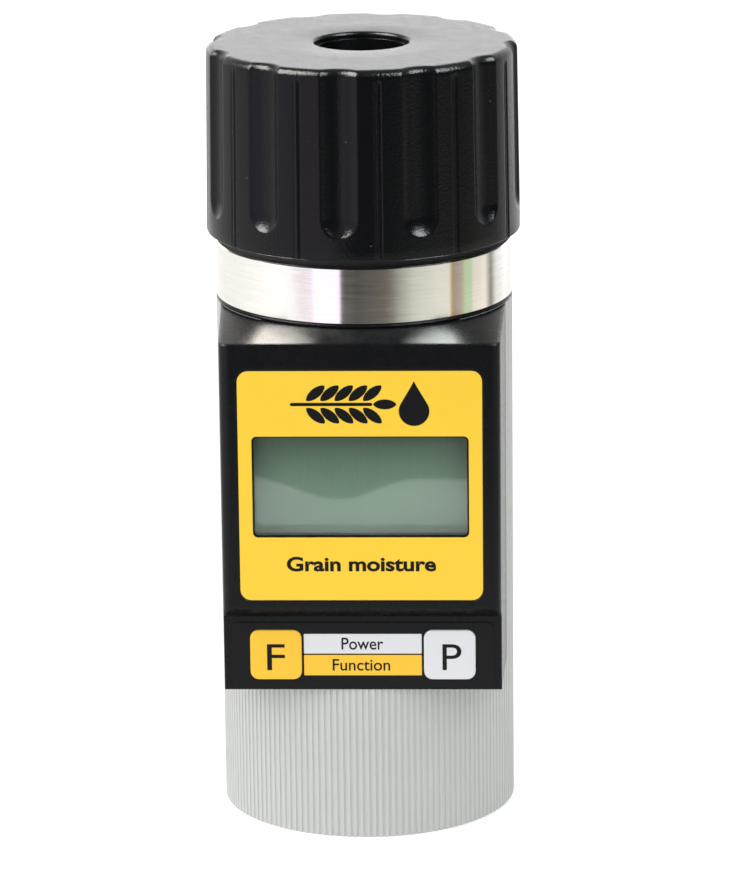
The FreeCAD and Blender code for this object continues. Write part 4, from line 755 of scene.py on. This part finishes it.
def floor_sheet():
    """A white sheet whose front edge, mirrored in the display, dips in a shallow curve."""
    points = [(SHEET_LEFT, SHEET_BACK), (SHEET_LEFT, SHEET_FRONT)]
    for index in range(NOTCH_POINTS + 1):
        across = NOTCH_START + NOTCH_LENGTH * index / NOTCH_POINTS
        width = NOTCH_LEFT_WIDTH if across < NOTCH_MIDDLE else NOTCH_RIGHT_WIDTH
        dent = NOTCH_DEPTH * math.exp(-((across - NOTCH_MIDDLE) / width) ** 2)
        rise = NOTCH_RISE * smooth_step(across, NOTCH_MIDDLE, NOTCH_RISE_END)
        points.append((across, SHEET_FRONT + dent + rise))
    points += [(SHEET_RIGHT, SHEET_FRONT + NOTCH_RISE), (SHEET_RIGHT, SHEET_BACK)]
    mesh = bpy.data.meshes.new("floor")
    mesh.from_pydata([(x, y, -SHEET_SINK) for x, y in points], [], [tuple(range(len(points)))])
    material, graph, shader = new_material("floor_white")
    paper = graph.mix(graph.noise(60.0), (0.86, 0.86, 0.86), (0.9, 0.9, 0.9))
    graph.put(shader, {"Base_Color": paper, "Roughness": 0.9, "Emission_Color": (1.0, 1.0, 1.0),
                       "Emission_Strength": SHEET_GLOW})
    mesh.materials.append(material)
    floor = bpy.data.objects.new("floor", mesh)
    bpy.context.scene.collection.objects.link(floor)


# The studio that the meter mirrors: azimuth in degrees from the front, positive to the right, and
# the light that comes from there, below the horizon, just above it and overhead.
SIDE_LOW = (
    (-180, (1.05, 1.05, 1.05)), (-128, (0.95, 0.95, 0.94)), (-118, (0.7, 0.71, 0.7)),
    (-106, (0.8, 0.8, 0.77)), (-60, (1.0, 0.98, 0.9)), (-46, (0.98, 0.95, 0.85)),
    (-38.5, (1.3, 1.3, 1.3)), (-37, (2.0, 1.75, 2.3)), (-17.2, (2.0, 1.75, 2.3)),
    (-16.4, (0.12, 0.115, 0.09)), (0, (0.115, 0.11, 0.09)), (8, (0.16, 0.15, 0.12)),
    (17, (0.2, 0.175, 0.13)), (23, (0.3, 0.29, 0.25)), (30, (0.66, 0.68, 0.57)),
    (42, (1.15, 1.2, 1.02)), (60, (1.5, 1.52, 1.35)), (71.5, (1.55, 1.5, 1.36)),
    (73.3, (1.1, 0.72, 0.2)), (75.2, (0.68, 0.52, 0.42)), (84, (0.9, 0.76, 0.62)),
    (86.5, (0.95, 1.2, 0.75)), (93.5, (0.98, 1.25, 0.82)), (96, (1.5, 1.38, 1.24)),
    (110, (1.6, 1.5, 1.4)), (113, (1.0, 0.9, 0.8)), (118, (0.16, 0.14, 0.1)),
    (122, (0.65, 0.62, 0.56)), (126, (1.1, 1.1, 1.1)), (180, (1.05, 1.05, 1.05)))
SIDE_MIDDLE = (
    (-180, (2.85, 2.85, 2.85)), (-130, (2.6, 2.6, 2.6)), (-95, (1.1, 1.1, 1.15)),
    (-40, (1.3, 1.05, 1.5)), (-17, (1.0, 0.88, 1.1)), (-13, (0.06, 0.06, 0.07)),
    (20, (0.035, 0.045, 0.05)), (80, (0.05, 0.07, 0.075)), (105, (0.16, 0.19, 0.19)),
    (128, (1.2, 1.25, 1.25)), (145, (2.6, 2.6, 2.6)), (180, (2.85, 2.85, 2.85)))
OVERHEAD = (
    (-180, (0.9, 0.9, 0.9)), (-60, (0.8, 0.8, 0.82)), (-25, (0.35, 0.35, 0.36)),
    (15, (0.25, 0.26, 0.26)), (60, (0.6, 0.62, 0.62)), (120, (0.9, 0.9, 0.9)),
    (180, (0.9, 0.9, 0.9)))
# Elevations in degrees between which one ring of the studio gives way to the next.
LOW_ENDS, MIDDLE_STARTS, MIDDLE_ENDS, OVERHEAD_STARTS = -13.4, -12.0, 18.0, 40.0
# Strength of the soft light from the far left and from the far right, and its colour.
SOFT_LEFT, SOFT_RIGHT, SOFT_COLOR = 0.98, 0.73, (1.0, 1.0, 0.985)
LIGHT_CENTRE = Vector((0, 0, 0.12))


def ramp(graph, position, stops):
    """Colours by azimuth, from stops in degrees. Light may be brighter than 1."""
    node = graph.node("ValToRGB", {0: position})
    elements = node.color_ramp.elements
    for _ in range(len(stops) - 2):
        elements.new(0.5)
    for element, (angle, color) in zip(elements, stops):
        element.position = 0.5 + angle / 360
    for element, (angle, color) in zip(elements, stops):
        element.color = (*color, 1)
    return node.outputs[0]


def make_world():
    """A white studio: rings of light to be mirrored, a soft light to be lit by, and a white backdrop."""
    world = bpy.data.worlds.new("studio")
    bpy.context.scene.world = world
    world.use_nodes = True
    graph = Graph(world.node_tree)
    world.node_tree.nodes.clear()
    toward = graph.node("SeparateXYZ", {0: graph.node("TexCoord").outputs["Generated"]})
    behind = graph.maths("MULTIPLY", toward.outputs[1], -1.0)
    azimuth = graph.maths("ARCTAN2", toward.outputs[0], behind)
    position = graph.maths("ADD", graph.maths("DIVIDE", azimuth, 2 * math.pi), 0.5)
    height = toward.outputs[2]
    low = ramp(graph, position, SIDE_LOW)
    middle = ramp(graph, position, SIDE_MIDDLE)
    above = ramp(graph, position, OVERHEAD)
    heights = [math.sin(math.radians(elevation))
               for elevation in (LOW_ENDS, MIDDLE_STARTS, MIDDLE_ENDS, OVERHEAD_STARTS)]
    low_to_middle = graph.spread(height, 0.0, 1.0, heights[0], heights[1])
    middle_to_above = graph.spread(height, 0.0, 1.0, heights[2], heights[3], True)
    light = graph.mix(middle_to_above, graph.mix(low_to_middle, low, middle), above)
    seen = graph.node("Background", {"Color": (1, 1, 1), "Strength": 1.0}).outputs[0]
    mirrored = graph.node("Background", {"Color": light, "Strength": 1.0}).outputs[0]
    side = graph.spread(toward.outputs[0], SOFT_LEFT, SOFT_RIGHT, -1.0, 1.0)
    soft = graph.node("Background", {"Color": SOFT_COLOR, "Strength": side}).outputs[0]
    path = graph.node("LightPath")
    lit = graph.node("MixShader", {0: path.outputs["Is Diffuse Ray"], 1: mirrored, 2: soft}).outputs[0]
    shown = graph.node("MixShader", {0: path.outputs["Is Camera Ray"], 1: lit, 2: seen}).outputs[0]
    graph.node("OutputWorld", {0: shown})


def softbox(name, azimuth, elevation, size, radiance, color, glossy):
    """A square light a metre from the meter's middle, either only mirrored or only lighting."""
    data = bpy.data.lights.new(name, "AREA")
    data.shape = "SQUARE"
    data.size = size
    data.energy = radiance * math.pi * size * size
    data.color = color
    light = bpy.data.objects.new(name, data)
    bpy.context.scene.collection.objects.link(light)
    turn, lift = math.radians(azimuth), math.radians(elevation)
    away = Vector((math.sin(turn) * math.cos(lift), -math.cos(turn) * math.cos(lift), math.sin(lift)))
    light.location = LIGHT_CENTRE + away
    light.rotation_mode = "QUATERNION"
    light.rotation_quaternion = (-away).to_track_quat("-Z", "Y")
    light.visible_camera = False
    light.visible_glossy = glossy
    light.visible_diffuse = not glossy


def make_lights():
    softbox("light_left", -58, 16, 0.6, 1.5, (1.0, 0.98, 0.97), False)
    softbox("light_right", 50, 30, 0.6, 0.15, (0.96, 1.0, 1.0), False)
    softbox("softbox_left", -74, 48, 0.7, 35.0, (1.0, 0.97, 0.93), True)
    softbox("softbox_right", 58, 47, 0.6, 29.0, (0.9, 1.0, 1.0), True)


# ------------------------------------------------------------------ build

make_camera()
cap_grip()
key_cap("key_cap_f", "key_f", "key_left", "key_yellow")
key_cap("key_cap_p", "key_p", "key_right", "key_white")
printed_words("key_letter_f", "F", (-24.3, 45.4, -19.8, 52.3), KEY_FRONT, "key_left")
printed_words("key_letter_p", "P", (20.2, 45.4, 25.0, 52.3), KEY_FRONT, "key_right")
legend_bars(OVERLAY_LOW.y)
printed_words("legend_power", "Power", (-5.4, 50.7, 5.2, 53.9), OVERLAY_LOW.y - INK, weight=0.008)
printed_words("legend_function", "Function", (-7.7, 45.1, 6.9, 48.2), OVERLAY_LOW.y - INK, weight=0.008)
printed_words("label_caption", "Grain moisture", (-18.8, 72.3, 18.8, 76.2), LABEL_LOW.y, weight=0.03)
pictogram(LABEL_LOW.y)
# Painted shade line round the display window.
window_edge_shade()
spring_coil()
floor_sheet()
make_world()
make_lights()
bpy.context.scene.view_settings.view_transform = "Standard"
